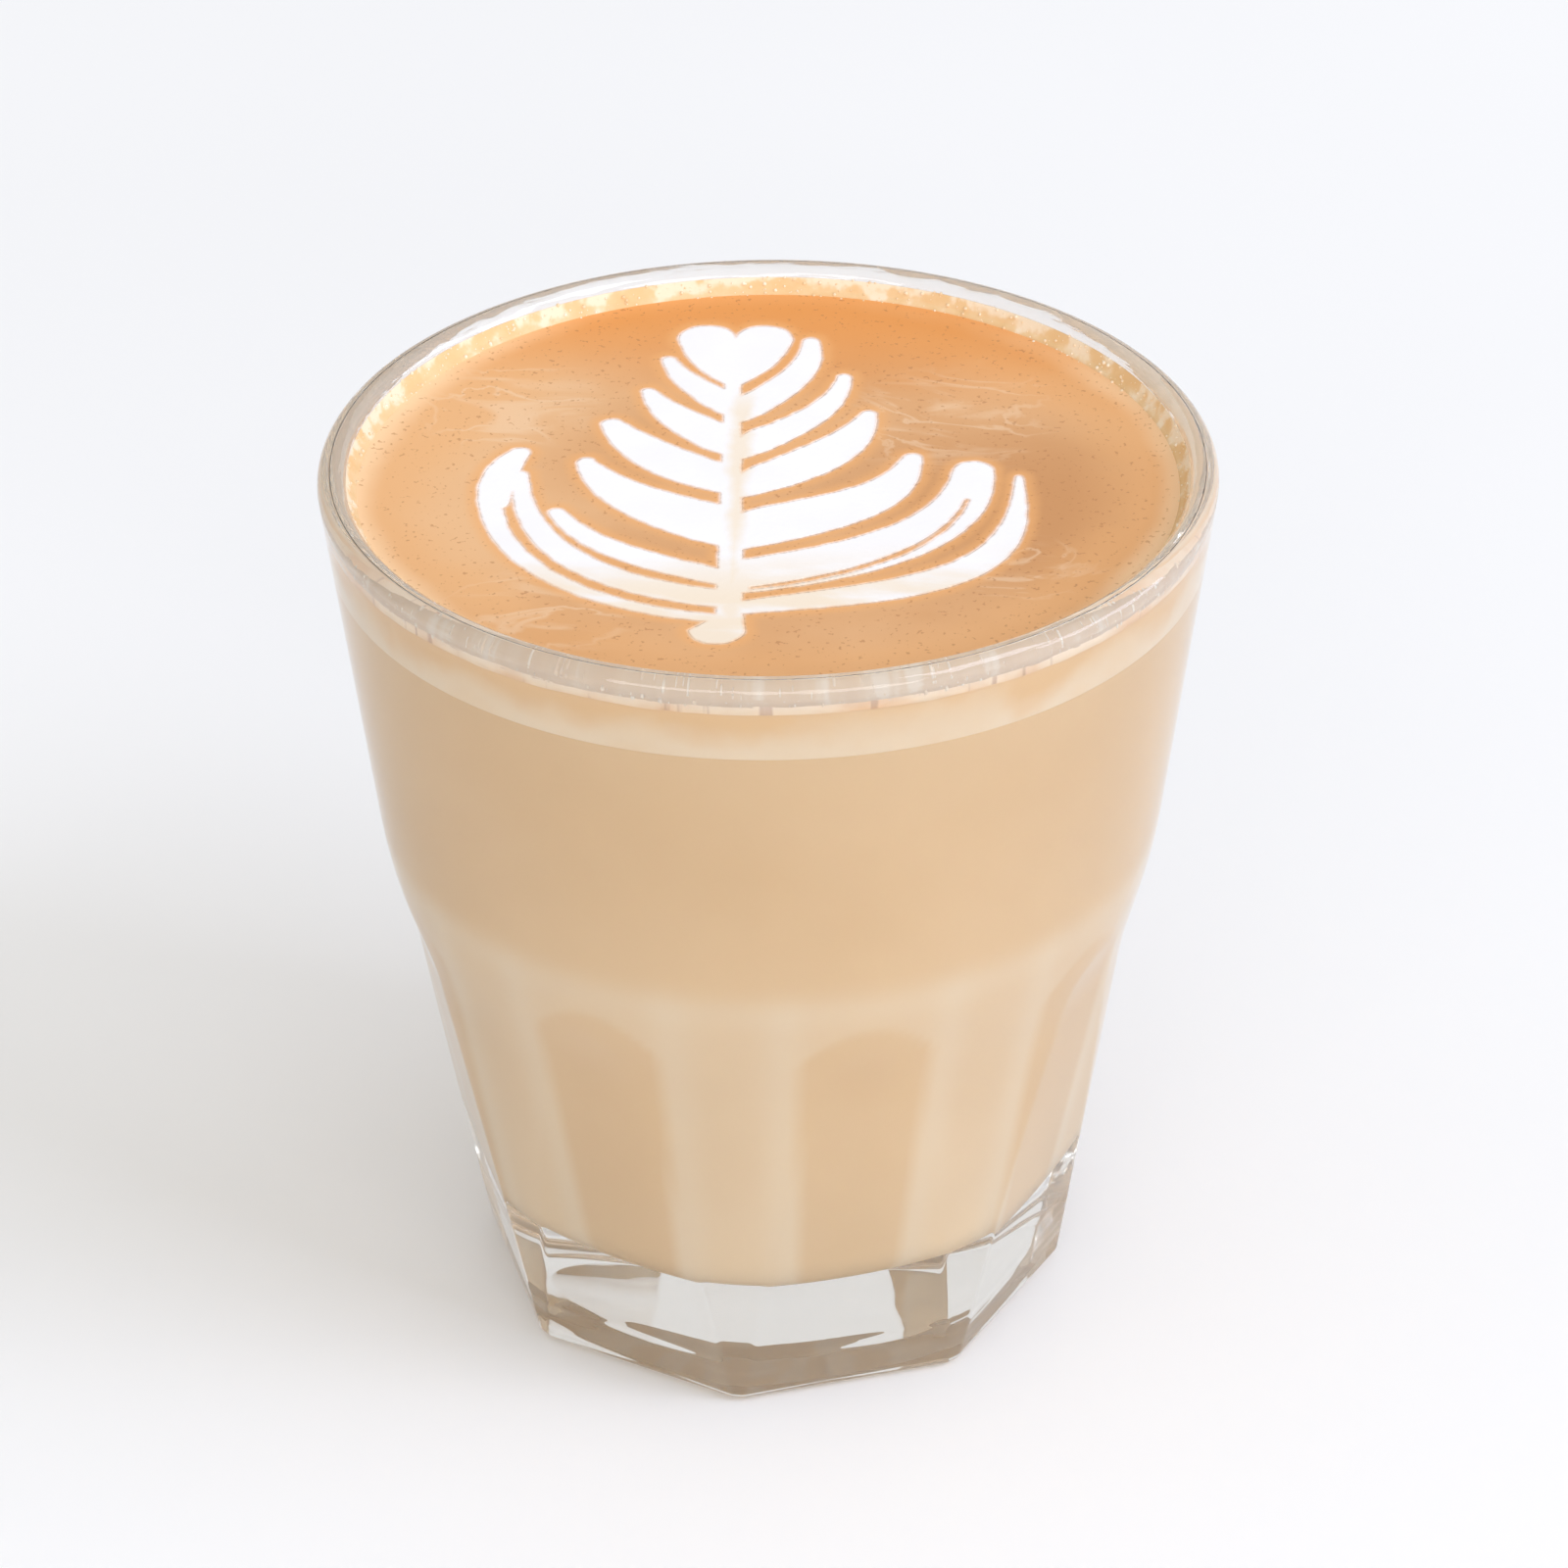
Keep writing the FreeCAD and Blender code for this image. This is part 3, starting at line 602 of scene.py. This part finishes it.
def drink_material(name, light, dark, scale, top=None):
    """A matt milky body that drifts between two tones and is lightened where light is painted on it.

    top is a third tone with the heights (mm) where it begins and where it is full."""
    material, tree, output = new_material(name)
    place = add(tree, "ShaderNodeTexCoord").outputs["Object"]
    cloud = add(tree, "ShaderNodeTexNoise", Vector=place, Scale=scale, Detail=3.0).outputs["Fac"]
    shade = blend(tree, ramp(tree, cloud, 0.3, 0.7), dark, light)
    if top:
        tone, begins, full = top
        height = add(tree, "ShaderNodeSeparateXYZ", Vector=place).outputs["Z"]
        wander = sum_of(tree, "MULTIPLY", sum_of(tree, "SUBTRACT", cloud, 0.5), RAGGED_EDGE)
        ragged = sum_of(tree, "ADD", height, wander)
        shade = blend(tree, ramp(tree, ragged, begins * MM, full * MM), shade, tone)
    # Painted light: a stored number lightens the colour towards a pale tone
    painted_light = add(tree, "ShaderNodeAttribute", {"attribute_name": "painted_light"}).outputs["Fac"]
    shade = blend(tree, painted_light, shade, PAINTED_LIGHT_TONE)
    body = add(tree, "ShaderNodeBsdfPrincipled", Base_Color=shade, Roughness=0.9)
    body.inputs["Specular IOR Level"].default_value = 0.0
    tree.links.new(body.outputs[0], output.inputs["Surface"])
    return material


COFFEE = drink_material("milk coffee", colour(239, 205, 156), colour(234, 198, 147), 45.0)
FOAM = drink_material("milk foam", colour(252, 233, 204), colour(249, 222, 184), 110.0,
                      top=(colour(243, 202, 146), 71.2, 75.0))
print("materials", COFFEE.name, "and", FOAM.name)

# %% [markdown]
# ## Painted light from the ribs
# The thick ribs work as lenses: they gather light on the drink behind them, most of all
# beside the flutes' edges, while the drink behind a flat flute stays at its own tone. Under
# our even light a plain render hardly shows that. The pattern has the shape of the flutes,
# so we paint it: a number stored on the coffee's points, the same behind every rib, lightens
# the coffee's colour. A band of painted light round the waist is added the same way.

# %% Painted light on the coffee
FLUTE_VIEW, ARCH_TOP, ARCH_DROP = math.radians(11.0), 41.6, 3.2
# Strengths of the painted light: behind the ribs, beside the flutes' edges and round the waist
PAINTED_RIB_LIGHT, PAINTED_EDGE_LIGHT, PAINTED_WAIST_LIGHT = 0.20, 0.15, 0.12
WAIST_LOW, WAIST_HIGH, WAIST_BAND = 42.0, 47.5, 44.0


def smooth_step(value, low, high):
    """0 below low, 1 above high, and an even curve between."""
    share = np.clip((value - low) / (high - low), 0.0, 1.0)
    return share * share * (3 - 2 * share)


def store_painted_light(piece):
    """Painted light from the ribs and round the waist, stored on every point of a turned piece."""
    mesh = piece.data
    spots = np.empty(len(mesh.vertices) * 3)
    mesh.vertices.foreach_get("co", spots)
    x, y, z = spots.reshape(-1, 3).T
    pitch = 2 * math.pi / FLUTES
    aside = np.abs((np.arctan2(y, x) % pitch) - pitch / 2)
    arch = ARCH_TOP - ARCH_DROP * (aside / FLUTE_VIEW) ** 2
    behind_flute = smooth_step(FLUTE_VIEW - aside, -0.03, 0.03) * smooth_step(arch - z / MM, -0.3, 0.9)
    beside_flute = np.exp(-((aside - FLUTE_VIEW - 0.045) / 0.06) ** 2)
    below_waist = 1 - smooth_step(z / MM, WAIST_LOW, WAIST_HIGH)
    waist_band = np.exp(-((z / MM - WAIST_BAND) / 1.6) ** 2)
    rib = (PAINTED_RIB_LIGHT + PAINTED_EDGE_LIGHT * beside_flute) * below_waist * (1 - behind_flute)
    lift = rib + PAINTED_WAIST_LIGHT * waist_band
    painted_light = mesh.attributes.new("painted_light", "FLOAT", "POINT")
    painted_light.data.foreach_set("value", lift.astype(np.float32))
    print(f"{piece.name}: glow from {lift.min():.2f} to {lift.max():.2f}")


print(f"the glow may reach {PAINTED_RIB_LIGHT + PAINTED_EDGE_LIGHT + PAINTED_WAIST_LIGHT:.2f}")

# %% [markdown]
# ## Coffee and foam
# Both layers are turned from an outline like the glass, without flutes. They reach a hair
# into the wall, so that no air gap mirrors between drink and glass, and the corners where
# they meet are all but sharp, so that the line between them is crisp.

# %% Coffee and foam
INTO_WALL, CRISP = 0.08, 0.02
COFFEE_STEP, FOAM_STEP, ABOVE_PAINTED_LIGHT = 0.6, 0.8, 50.0


def coffee_step(height):
    """Rows close together where the painted light needs them."""
    return COFFEE_STEP if FLOOR_HEIGHT < height < ABOVE_PAINTED_LIGHT else 5.0


coffee = turned_piece("coffee_body", outline([
    (0, FLOOR_HEIGHT - INTO_WALL), (FLOOR_RADIUS + INTO_WALL, FLOOR_HEIGHT - INTO_WALL, FLOOR_ROUND),
    (BEND_RADIUS + INTO_WALL, BEND_HEIGHT, BEND_ROUND),
    (wall_inside(FOAM_FLOOR) + INTO_WALL, FOAM_FLOOR, CRISP), (0, FOAM_FLOOR)], step=coffee_step), COFFEE)
store_painted_light(coffee)
foam = turned_piece("foam_band", outline([
    (0, FOAM_FLOOR), (wall_inside(FOAM_FLOOR) + INTO_WALL, FOAM_FLOOR, CRISP),
    (wall_inside(CREMA_FLOOR) + INTO_WALL, CREMA_FLOOR, CRISP), (0, CREMA_FLOOR)],
    step=lambda height: FOAM_STEP), FOAM)
report(coffee)
report(foam)

# %% [markdown]
# ## Distance to the pattern's edge
# The rosetta is white milk drawn into brown crema. Its outline is in the frame already:
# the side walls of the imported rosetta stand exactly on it. So for any point of
# the surface, the distance to the nearest side wall is its distance to the pattern's
# edge, and a ray from above says which side it is on.

# %% Distance to the pattern's edge
def pattern_walls_and_top(node_name):
    """The side walls and the top of a packed inlay, as two search trees."""
    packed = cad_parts[node_name].data
    spots = [vertex.co.copy() for vertex in packed.vertices]
    walls, tops = [], []
    for face in packed.polygons:
        if abs(face.normal.z) < 0.5:
            walls.append(tuple(face.vertices))
        elif face.normal.z > 0.5:
            tops.append(tuple(face.vertices))
    return BVHTree.FromPolygons(spots, walls), BVHTree.FromPolygons(spots, tops)


side_walls, pattern_top = pattern_walls_and_top("rosetta")
low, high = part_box("rosetta")
WALL_MIDDLE = (low.z + high.z) / 2
ABOVE_DRINK = high.z + 0.01


def distance_to_edge(x, y):
    """Distance to the pattern's edge in mm, above zero inside the milk."""
    gap = side_walls.find_nearest(Vector((x, y, WALL_MIDDLE)))[3] / MM
    hit = pattern_top.ray_cast(Vector((x, y, ABOVE_DRINK)), Vector((0, 0, -1)))[0]
    return gap if hit is not None else -gap


print("the axis is", round(distance_to_edge(0, 0), 2), "mm inside the milk")

# %% [markdown]
# ## Triangles over the surface
# A signed distance can be stored on points, so the surface needs many of them, evenly
# spread. Squares would do, but a lattice of equal triangles follows a slanting edge
# better. The outermost points are drawn onto the circle, so that the rim is clean.

# %% Triangles over the surface
SURFACE_STEP, EDGE_GAP_LEAST = 0.30, 0.02
SURFACE_RADIUS = wall_inside(DRINK_LEVEL) + INTO_WALL


def hexagon_field(radius, step):
    """Points of a triangular lattice inside a circle, their triangles, and a clean rim."""
    rows = int(radius / (step * math.sqrt(0.75))) + 2
    spots, index = [], {}
    for j in range(-rows, rows + 1):
        y = j * step * math.sqrt(0.75)
        for i in range(-rows - rows // 2, rows + rows // 2 + 1):
            x = (i + 0.5 * j) * step
            if math.hypot(x, y) < radius + step * 0.6:
                index[i, j] = len(spots)
                spots.append((x, y))
    faces = []
    for (i, j), here in index.items():
        right, up, up_left = index.get((i + 1, j)), index.get((i, j + 1)), index.get((i - 1, j + 1))
        if right is not None and up is not None:
            faces.append((here, right, up))
        if up is not None and up_left is not None:
            faces.append((here, up, up_left))
    spots = np.array(spots)
    far = np.hypot(spots[:, 0], spots[:, 1])
    outer = far > radius - step * 0.6
    spots[outer] *= (radius / far[outer])[:, None]
    return spots, np.array(faces)


field_spots, field_faces = hexagon_field(SURFACE_RADIUS, SURFACE_STEP)
edge_gap = np.array([distance_to_edge(x * MM, y * MM) for x, y in field_spots])
edge_gap[np.abs(edge_gap) < EDGE_GAP_LEAST] = EDGE_GAP_LEAST
print(len(field_spots), "points,", len(field_faces), "triangles, milk on", int((edge_gap > 0).sum()))

# %% [markdown]
# ## Crema on one side, milk on the other
# The two liquids are separate pieces. Where a triangle has points on both sides, we cut
# it at the line of zero distance and give each part to its own side. Neighbours share the
# cut points, so the pieces meet along one line with no gap.

# %% Split along the pattern's edge
def split_field(spots, gaps, faces):
    """Cut mixed triangles at the zero line. Returns all points, their gaps, and the faces of both sides."""
    spots, gaps = [tuple(s) for s in spots], list(gaps)
    cuts, sides = {}, {False: [], True: []}

    def cut(a, b):
        key = (min(a, b), max(a, b))
        if key not in cuts:
            share = gaps[a] / (gaps[a] - gaps[b])
            cuts[key] = len(spots)
            spots.append(tuple(p + (q - p) * share for p, q in zip(spots[a], spots[b])))
            gaps.append(0.0)
        return cuts[key]

    for face in faces:
        white = [gaps[n] > 0 for n in face]
        if all(white) or not any(white):
            sides[white[0]].append(tuple(face))
            continue
        lone = next(n for n in range(3) if white.count(white[n]) == 1)
        a, b, c = (face[(lone + k) % 3] for k in range(3))
        ab, ac = cut(a, b), cut(a, c)
        sides[white[lone]].append((a, ab, ac))
        sides[not white[lone]].extend([(ab, b, c), (ab, c, ac)])
    return np.array(spots), np.array(gaps), sides


all_spots, all_gaps, sides = split_field(field_spots, edge_gap, field_faces)
print(len(sides[True]), "white triangles,", len(sides[False]), "brown")

# %% [markdown]
# ## Steps that the surface colours share
# Crema and milk share one recipe, so the colour runs over their joint without a seam. It
# is built from a few small steps: a noise, a distance from a spot, a wander about zero and
# a tone laid over what is there. Each tone of the crema is then one line or two.

# %% Helpers for the surface
def noise_at(tree, place, scale, detail=2.0, stretch=(1.0, 1.0, 1.0), distort=0.0):
    """Noise from 0 to 1. A larger stretch makes the pattern narrower that way."""
    spot = add(tree, "ShaderNodeMapping", Vector=place, Scale=stretch).outputs[0]
    return add(tree, "ShaderNodeTexNoise", Vector=spot, Scale=scale, Detail=detail,
               Distortion=distort).outputs["Fac"]


def distance_from(tree, axes, spot_x, spot_y):
    """Distance in plan (m) from a spot given in mm."""
    off_x = sum_of(tree, "POWER", sum_of(tree, "SUBTRACT", axes["X"], spot_x * MM), 2.0)
    off_y = sum_of(tree, "POWER", sum_of(tree, "SUBTRACT", axes["Y"], spot_y * MM), 2.0)
    return sum_of(tree, "SQRT", sum_of(tree, "ADD", off_x, off_y))


def lay(tree, under, share, strength, tone):
    """A tone laid over a colour, as strongly as share and strength say."""
    return blend(tree, sum_of(tree, "MULTIPLY", share, strength), under, tone)


def off_middle(tree, noise, width):
    """A noise turned into a wander of width, about zero."""
    return sum_of(tree, "MULTIPLY", sum_of(tree, "SUBTRACT", noise, 0.5), width)


print("helpers ready, surface radius", round(SURFACE_RADIUS, 2), "mm")

# %% [markdown]
# ## Crema
# Crema is a thin brown foam, and never one colour. It is darker and duller on the right,
# paler on the left and at the wall, and orange at the back. Milk has drawn faint pale
# swirls in it, and it is a stronger orange close beside the white. Tiny burst bubbles leave
# dark specks. We lay these tones over each other in that order, and a broad wander keeps
# their borders from being circles.

# %% Crema colour
DARK_SPOT = (21, -2)
SWIRLS = ((14, 13, 11), (-23, 12, 9), (-16, -24, 9), (22, -12, 7))


def swirl_share(tree, place, axes, wander):
    """Thin drawn lines and soft wisps, in a few patches only (x, y, reach in mm)."""
    line = noise_at(tree, place, 55.0, 4.0, (1.0, 1.5, 1.0), 2.2)
    line = sum_of(tree, "ABSOLUTE", sum_of(tree, "SUBTRACT", line, 0.5))
    wisp = ramp(tree, noise_at(tree, place, 110.0, 5.0, (0.6, 1.6, 1.0), 1.5), 0.52, 0.68)
    drawn = sum_of(tree, "MAXIMUM", ramp(tree, line, 0.035, 0.0), wisp)
    patches = 0.0
    for spot_x, spot_y, reach in SWIRLS:
        off = sum_of(tree, "ADD", distance_from(tree, axes, spot_x, spot_y), wander)
        patches = sum_of(tree, "MAXIMUM", patches, ramp(tree, off, reach * MM, reach * 0.35 * MM))
    return sum_of(tree, "MULTIPLY", drawn, patches)


def crema_colour(tree, place, axes, gap):
    """The crema's tones, laid from the base up. gap is the rough distance to the milk in mm."""
    wall = sum_of(tree, "SUBTRACT", SURFACE_RADIUS * MM, distance_from(tree, axes, 0, 0))
    wander = off_middle(tree, noise_at(tree, place, 70.0, 3.0), 0.010)

    def fade(value, low, high):
        return ramp(tree, sum_of(tree, "ADD", value, wander), low, high)

    cloud = ramp(tree, noise_at(tree, place, 38.0, 4.0), 0.35, 0.65)
    tone = blend(tree, cloud, colour(217, 161, 109), colour(231, 181, 132))
    tone = blend(tree, fade(distance_from(tree, axes, *DARK_SPOT), 0.023, 0.004), tone, colour(205, 147, 95))
    tone = blend(tree, fade(axes["X"], -0.010, -0.032), tone, colour(238, 190, 141))
    tone = lay(tree, tone, fade(wall, 0.0105, 0.004), 0.6, colour(236, 176, 116))
    behind = fade(axes["Y"], 0.012, 0.031)
    tone = lay(tree, tone, behind, 0.9, colour(232, 152, 76))
    tone = lay(tree, tone, swirl_share(tree, place, axes, wander), 0.38, colour(248, 218, 184))
    tone = lay(tree, tone, ramp(tree, gap, -1.5, -0.15), 0.65, colour(240, 176, 112))

    ring = ramp(tree, sum_of(tree, "ADD", wall, sum_of(tree, "MULTIPLY", wander, 0.3)), 0.0032, 0.0006)
    ring_strength = sum_of(tree, "SUBTRACT", 0.85, sum_of(tree, "MULTIPLY", behind, 0.75))
    tone = lay(tree, tone, ring, ring_strength, colour(250, 212, 168))
    speck = ramp(tree, noise_at(tree, place, 2400.0, 1.0), 0.66, 0.72)
    tone = lay(tree, tone, speck, 0.5, colour(178, 118, 70))
    return against_glass(tree, place, wall, tone)


def against_glass(tree, place, wall, tone):
    """The crema's side, seen through the wall: pale with golden stains and upright dark ticks."""
    at_wall = ramp(tree, wall, 0.0004, 0.0002)
    stain = ramp(tree, noise_at(tree, place, 120.0, 4.0), 0.45, 0.68)
    tone = blend(tree, at_wall, tone, blend(tree, stain, colour(250, 222, 184), colour(238, 186, 124)))
    tick = ramp(tree, noise_at(tree, place, 900.0, 2.0, (1.0, 1.0, 0.08)), 0.60, 0.70)
    return lay(tree, tone, sum_of(tree, "MULTIPLY", tick, at_wall), 0.55, colour(176, 112, 62))


print(len(SWIRLS), "patches of swirls")

# %% [markdown]
# ## Milk
# The microfoam is nearly white. Along the stem, where the pourer cut back through the
# leaves, and low down, where the leaves run together, crema is mixed in and makes it
# cream. The stem's line is turned and shifted as the rosetta is in the model.

# %% Milk colour
ROSETTA_TURN, ROSETTA_SHIFT, STEM_SIDE = math.radians(5.5), -3.5, 1.0


def milk_colour(tree, place, axes):
    """White microfoam, cream along the stem and in the lowest leaves."""
    lean_cos, lean_sin = math.cos(ROSETTA_TURN), math.sin(ROSETTA_TURN)
    aside = sum_of(tree, "ADD", sum_of(tree, "MULTIPLY", axes["X"], lean_cos),
                   sum_of(tree, "MULTIPLY", axes["Y"], lean_sin))
    along = sum_of(tree, "SUBTRACT", sum_of(tree, "MULTIPLY", axes["Y"], lean_cos),
                   sum_of(tree, "MULTIPLY", axes["X"], lean_sin))
    aside = sum_of(tree, "ABSOLUTE", sum_of(tree, "SUBTRACT", aside, (ROSETTA_SHIFT + STEM_SIDE) * MM))
    aside = sum_of(tree, "ADD", aside, off_middle(tree, noise_at(tree, place, 200.0, 3.0), 0.0030))
    stem = sum_of(tree, "MULTIPLY", ramp(tree, aside, 0.0014, 0.0), ramp(tree, along, 0.019, 0.012))
    patch = ramp(tree, noise_at(tree, place, 110.0, 4.0, (0.6, 1.8, 1.0)), 0.38, 0.60)
    low_leaves = sum_of(tree, "MULTIPLY", ramp(tree, along, -0.008, -0.020), patch)
    cream = sum_of(tree, "MAXIMUM", sum_of(tree, "MULTIPLY", stem, 0.8),
                   sum_of(tree, "MULTIPLY", low_leaves, 0.9))
    cloud = ramp(tree, noise_at(tree, place, 120.0), 0.3, 0.7)
    white = blend(tree, cloud, colour(249, 247, 249), colour(252, 251, 254))
    return blend(tree, cream, white, colour(246, 228, 204))


print("rosetta turned", round(math.degrees(ROSETTA_TURN), 1), "degrees")

# %% [markdown]
# ## One material for the whole surface
# Where milk meets crema the edge is soft over half a millimetre and frayed by fine noise.
# Both pieces read the stored distance, so both show their share of that soft edge.

# %% Surface material
EDGE_FRAY, EDGE_OUTSIDE, EDGE_INSIDE = 0.4, -0.34, 0.30


def surface_material(name):
    """Crema or milk, by the distance to the pattern's edge that is stored on the points."""
    material, tree, output = new_material(name)
    place = add(tree, "ShaderNodeTexCoord").outputs["Object"]
    axes = add(tree, "ShaderNodeSeparateXYZ", Vector=place).outputs
    gap = add(tree, "ShaderNodeAttribute", {"attribute_name": "milk"}).outputs["Fac"]
    gap = sum_of(tree, "ADD", gap, off_middle(tree, noise_at(tree, place, 700.0, 3.0), EDGE_FRAY))
    shade = blend(tree, ramp(tree, gap, EDGE_OUTSIDE, EDGE_INSIDE),
                  crema_colour(tree, place, axes, gap), milk_colour(tree, place, axes))
    bump = add(tree, "ShaderNodeBump", Strength=0.15, Distance=0.0001, Height=noise_at(tree, place, 1500.0))
    body = add(tree, "ShaderNodeBsdfPrincipled", Base_Color=shade, Roughness=0.55, Normal=bump.outputs[0])
    body.inputs["Specular IOR Level"].default_value = 0.3
    tree.links.new(body.outputs[0], output.inputs["Surface"])
    return material


CREMA = surface_material("crema")
MILK = surface_material("white microfoam")
print("surface material:", len(CREMA.node_tree.nodes), "nodes")

# %% [markdown]
# ## Crema and rosetta
# A liquid climbs a little where it touches a wall, so the surface rises over its last
# millimetre. Each piece gets walls and a floor under its sheet of triangles, as the packed
# model has them: an open sheet would look hollow through the side of the glass.

# %% Crema and rosetta
MENISCUS_RISE, MENISCUS_REACH = 0.35, 0.8
INLAY_DEPTH = (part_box("rosetta")[1].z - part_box("rosetta")[0].z) / MM
GAP_LIMIT = 4.0


def surface_height(x, y):
    """The surface is level and climbs a little at the wall (mm)."""
    gap = SURFACE_RADIUS - math.hypot(x, y)
    return DRINK_LEVEL + MENISCUS_RISE * math.exp(-gap / MENISCUS_REACH)


def closed_below(tops, floor, faces):
    """Give a sheet of faces a floor and walls. tops are its points, floor is a height in mm."""
    count = len(tops)
    bottoms = [(x, y, floor) for x, y, _ in tops]
    under = [tuple(n + count for n in reversed(face)) for face in faces]
    runs = {(face[k], face[(k + 1) % 3]) for face in faces for k in range(3)}
    walls = [(b, a, a + count, b + count) for a, b in runs if (b, a) not in runs]
    return tops + bottoms, faces + under + walls


def surface_piece(name, faces, depth, finish):
    """The faces of one side of the pattern, with walls down to depth (mm) and a floor."""
    used = sorted({n for face in faces for n in face})
    order = {n: k for k, n in enumerate(used)}
    tops = [(*all_spots[n], surface_height(*all_spots[n])) for n in used]
    spots, shell = closed_below(tops, DRINK_LEVEL - depth, [tuple(order[n] for n in face) for face in faces])
    mesh = bpy.data.meshes.new(name)
    mesh.from_pydata([tuple(part * MM for part in spot) for spot in spots], [], shell)
    stored = mesh.attributes.new("milk", "FLOAT", "POINT")
    gaps = np.clip(all_gaps[used], -GAP_LIMIT, GAP_LIMIT)
    stored.data.foreach_set("value", np.tile(gaps, 2).astype(np.float32))
    mesh.polygons.foreach_set("use_smooth", [number < len(faces) for number in range(len(shell))])
    mesh.materials.append(finish)
    piece = bpy.data.objects.new(name, mesh)
    scene.collection.objects.link(piece)
    return piece


crema = surface_piece("crema_surface", sides[False], DRINK_LEVEL - CREMA_FLOOR, CREMA)
rosetta = surface_piece("rosetta_milk", sides[True], INLAY_DEPTH, MILK)
report(crema)
report(rosetta)

# %% [markdown]
# ## Froth at the wall
# Where the drink was poured and swirled, tiny bubbles stay on the glass. A low turned
# ring is the wet body of that froth: tan at its foot, cream at its top.

# %% Froth ring
FROTH_RISE, FROTH_WIDTH, FROTH_SHOULDER = 0.05, 0.75, 0.22
FROTH = drink_material("froth", colour(228, 200, 160), colour(222, 186, 138), 420.0,
                       top=(colour(234, 216, 190), 76.6, 77.8))
froth = turned_piece("froth_ring", outline([
    (wall_inside(DRINK_LEVEL) - FROTH_WIDTH, DRINK_LEVEL),
    (wall_inside(DRINK_LEVEL) + INTO_WALL, DRINK_LEVEL - 0.3),
    (wall_inside(FROTH_TOP) + INTO_WALL, FROTH_TOP + FROTH_RISE, 0.05),
    (wall_inside(DRINK_LEVEL) - FROTH_SHOULDER, DRINK_LEVEL + 0.5, 0.4),
    (wall_inside(DRINK_LEVEL) - FROTH_WIDTH, DRINK_LEVEL)]), FROTH)
report(froth)

# %% [markdown]
# ## Bubbles
# Nearly two thousand small balls sit on the ring, so that its edge is rough and catches
# light. Placing them by hand is hopeless, so Geometry Nodes strews points over the ring's
# faces and puts a ball on each. The seed is fixed, so the froth is the same each time. Most
# are small and a few are large, which is why the dice is raised to a power.

# %% Froth bubbles
BUBBLE_INPUTS = [("Per Area", "NodeSocketFloat", 1.9e6), ("Smallest", "NodeSocketFloat", 0.05 * MM),
                 ("Largest", "NodeSocketFloat", 0.19 * MM), ("Seed", "NodeSocketInt", 4),
                 ("Finish", "NodeSocketMaterial", None)]


def bubble_tree():
    """Small balls of random size strewn over a mesh."""
    tree, given, result = new_tree("bubbles", BUBBLE_INPUTS)
    size = {name: given.outputs[name] for name, _, _ in BUBBLE_INPUTS}
    strewn = add(tree, "GeometryNodeDistributePointsOnFaces", Mesh=given.outputs["Geometry"],
                 Density=size["Per Area"], Seed=size["Seed"])
    ball = add(tree, "GeometryNodeMeshUVSphere", Segments=8, Rings=5, Radius=1.0)
    dice = tree.nodes.new("FunctionNodeRandomValue")
    share = next(socket for socket in dice.outputs if socket.enabled)
    wide = sum_of(tree, "POWER", share, 3.0)
    spread = sum_of(tree, "SUBTRACT", size["Largest"], size["Smallest"])
    reach = sum_of(tree, "ADD", size["Smallest"], sum_of(tree, "MULTIPLY", wide, spread))
    copies = add(tree, "GeometryNodeInstanceOnPoints", Points=strewn.outputs["Points"],
                 Instance=ball.outputs["Mesh"], Scale=reach)
    real = add(tree, "GeometryNodeRealizeInstances", Geometry=copies.outputs[0])
    smooth = add(tree, "GeometryNodeSetShadeSmooth", Geometry=real.outputs[0], Shade_Smooth=True)
    dressed = add(tree, "GeometryNodeSetMaterial", Geometry=smooth.outputs[0], Material=size["Finish"])
    tree.links.new(dressed.outputs[0], result.inputs[0])
    return tree


def bubble_material():
    """Wet bubbles: cream like the froth, with a gloss that catches the lamps."""
    material, tree, output = new_material("bubbles")
    place = add(tree, "ShaderNodeTexCoord").outputs["Object"]
    cloud = add(tree, "ShaderNodeTexNoise", Vector=place, Scale=400.0, Detail=2.0).outputs["Fac"]
    shade = blend(tree, ramp(tree, cloud, 0.35, 0.65), colour(228, 196, 152), colour(240, 226, 204))
    body = add(tree, "ShaderNodeBsdfPrincipled", Base_Color=shade, Roughness=0.3)
    tree.links.new(body.outputs[0], output.inputs["Surface"])
    return material


bubbles = made_by(bubble_tree(), froth.data.copy(), "froth_bubbles", bubble_material(), Seed=4)
report(bubbles)

# %% [markdown]
# ## Bodies
# Each piece now stands in for its solid of the imported model and moves with the one body.
# The bubbles stand in for nothing: they come on top of the froth.

# %% Bodies
for piece, node, finish in ((tumbler, "tumbler", "clear_glass"), (coffee, "milk_coffee", "milk_coffee"),
                            (foam, "milk_foam", "milk_foam"), (crema, "crema", "crema"),
                            (rosetta, "rosetta", "white_microfoam"), (froth, "froth_collar", "froth")):
    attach(piece, "root")
    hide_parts(node)

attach(bubbles, "root")
print("pieces ride the one body, root")
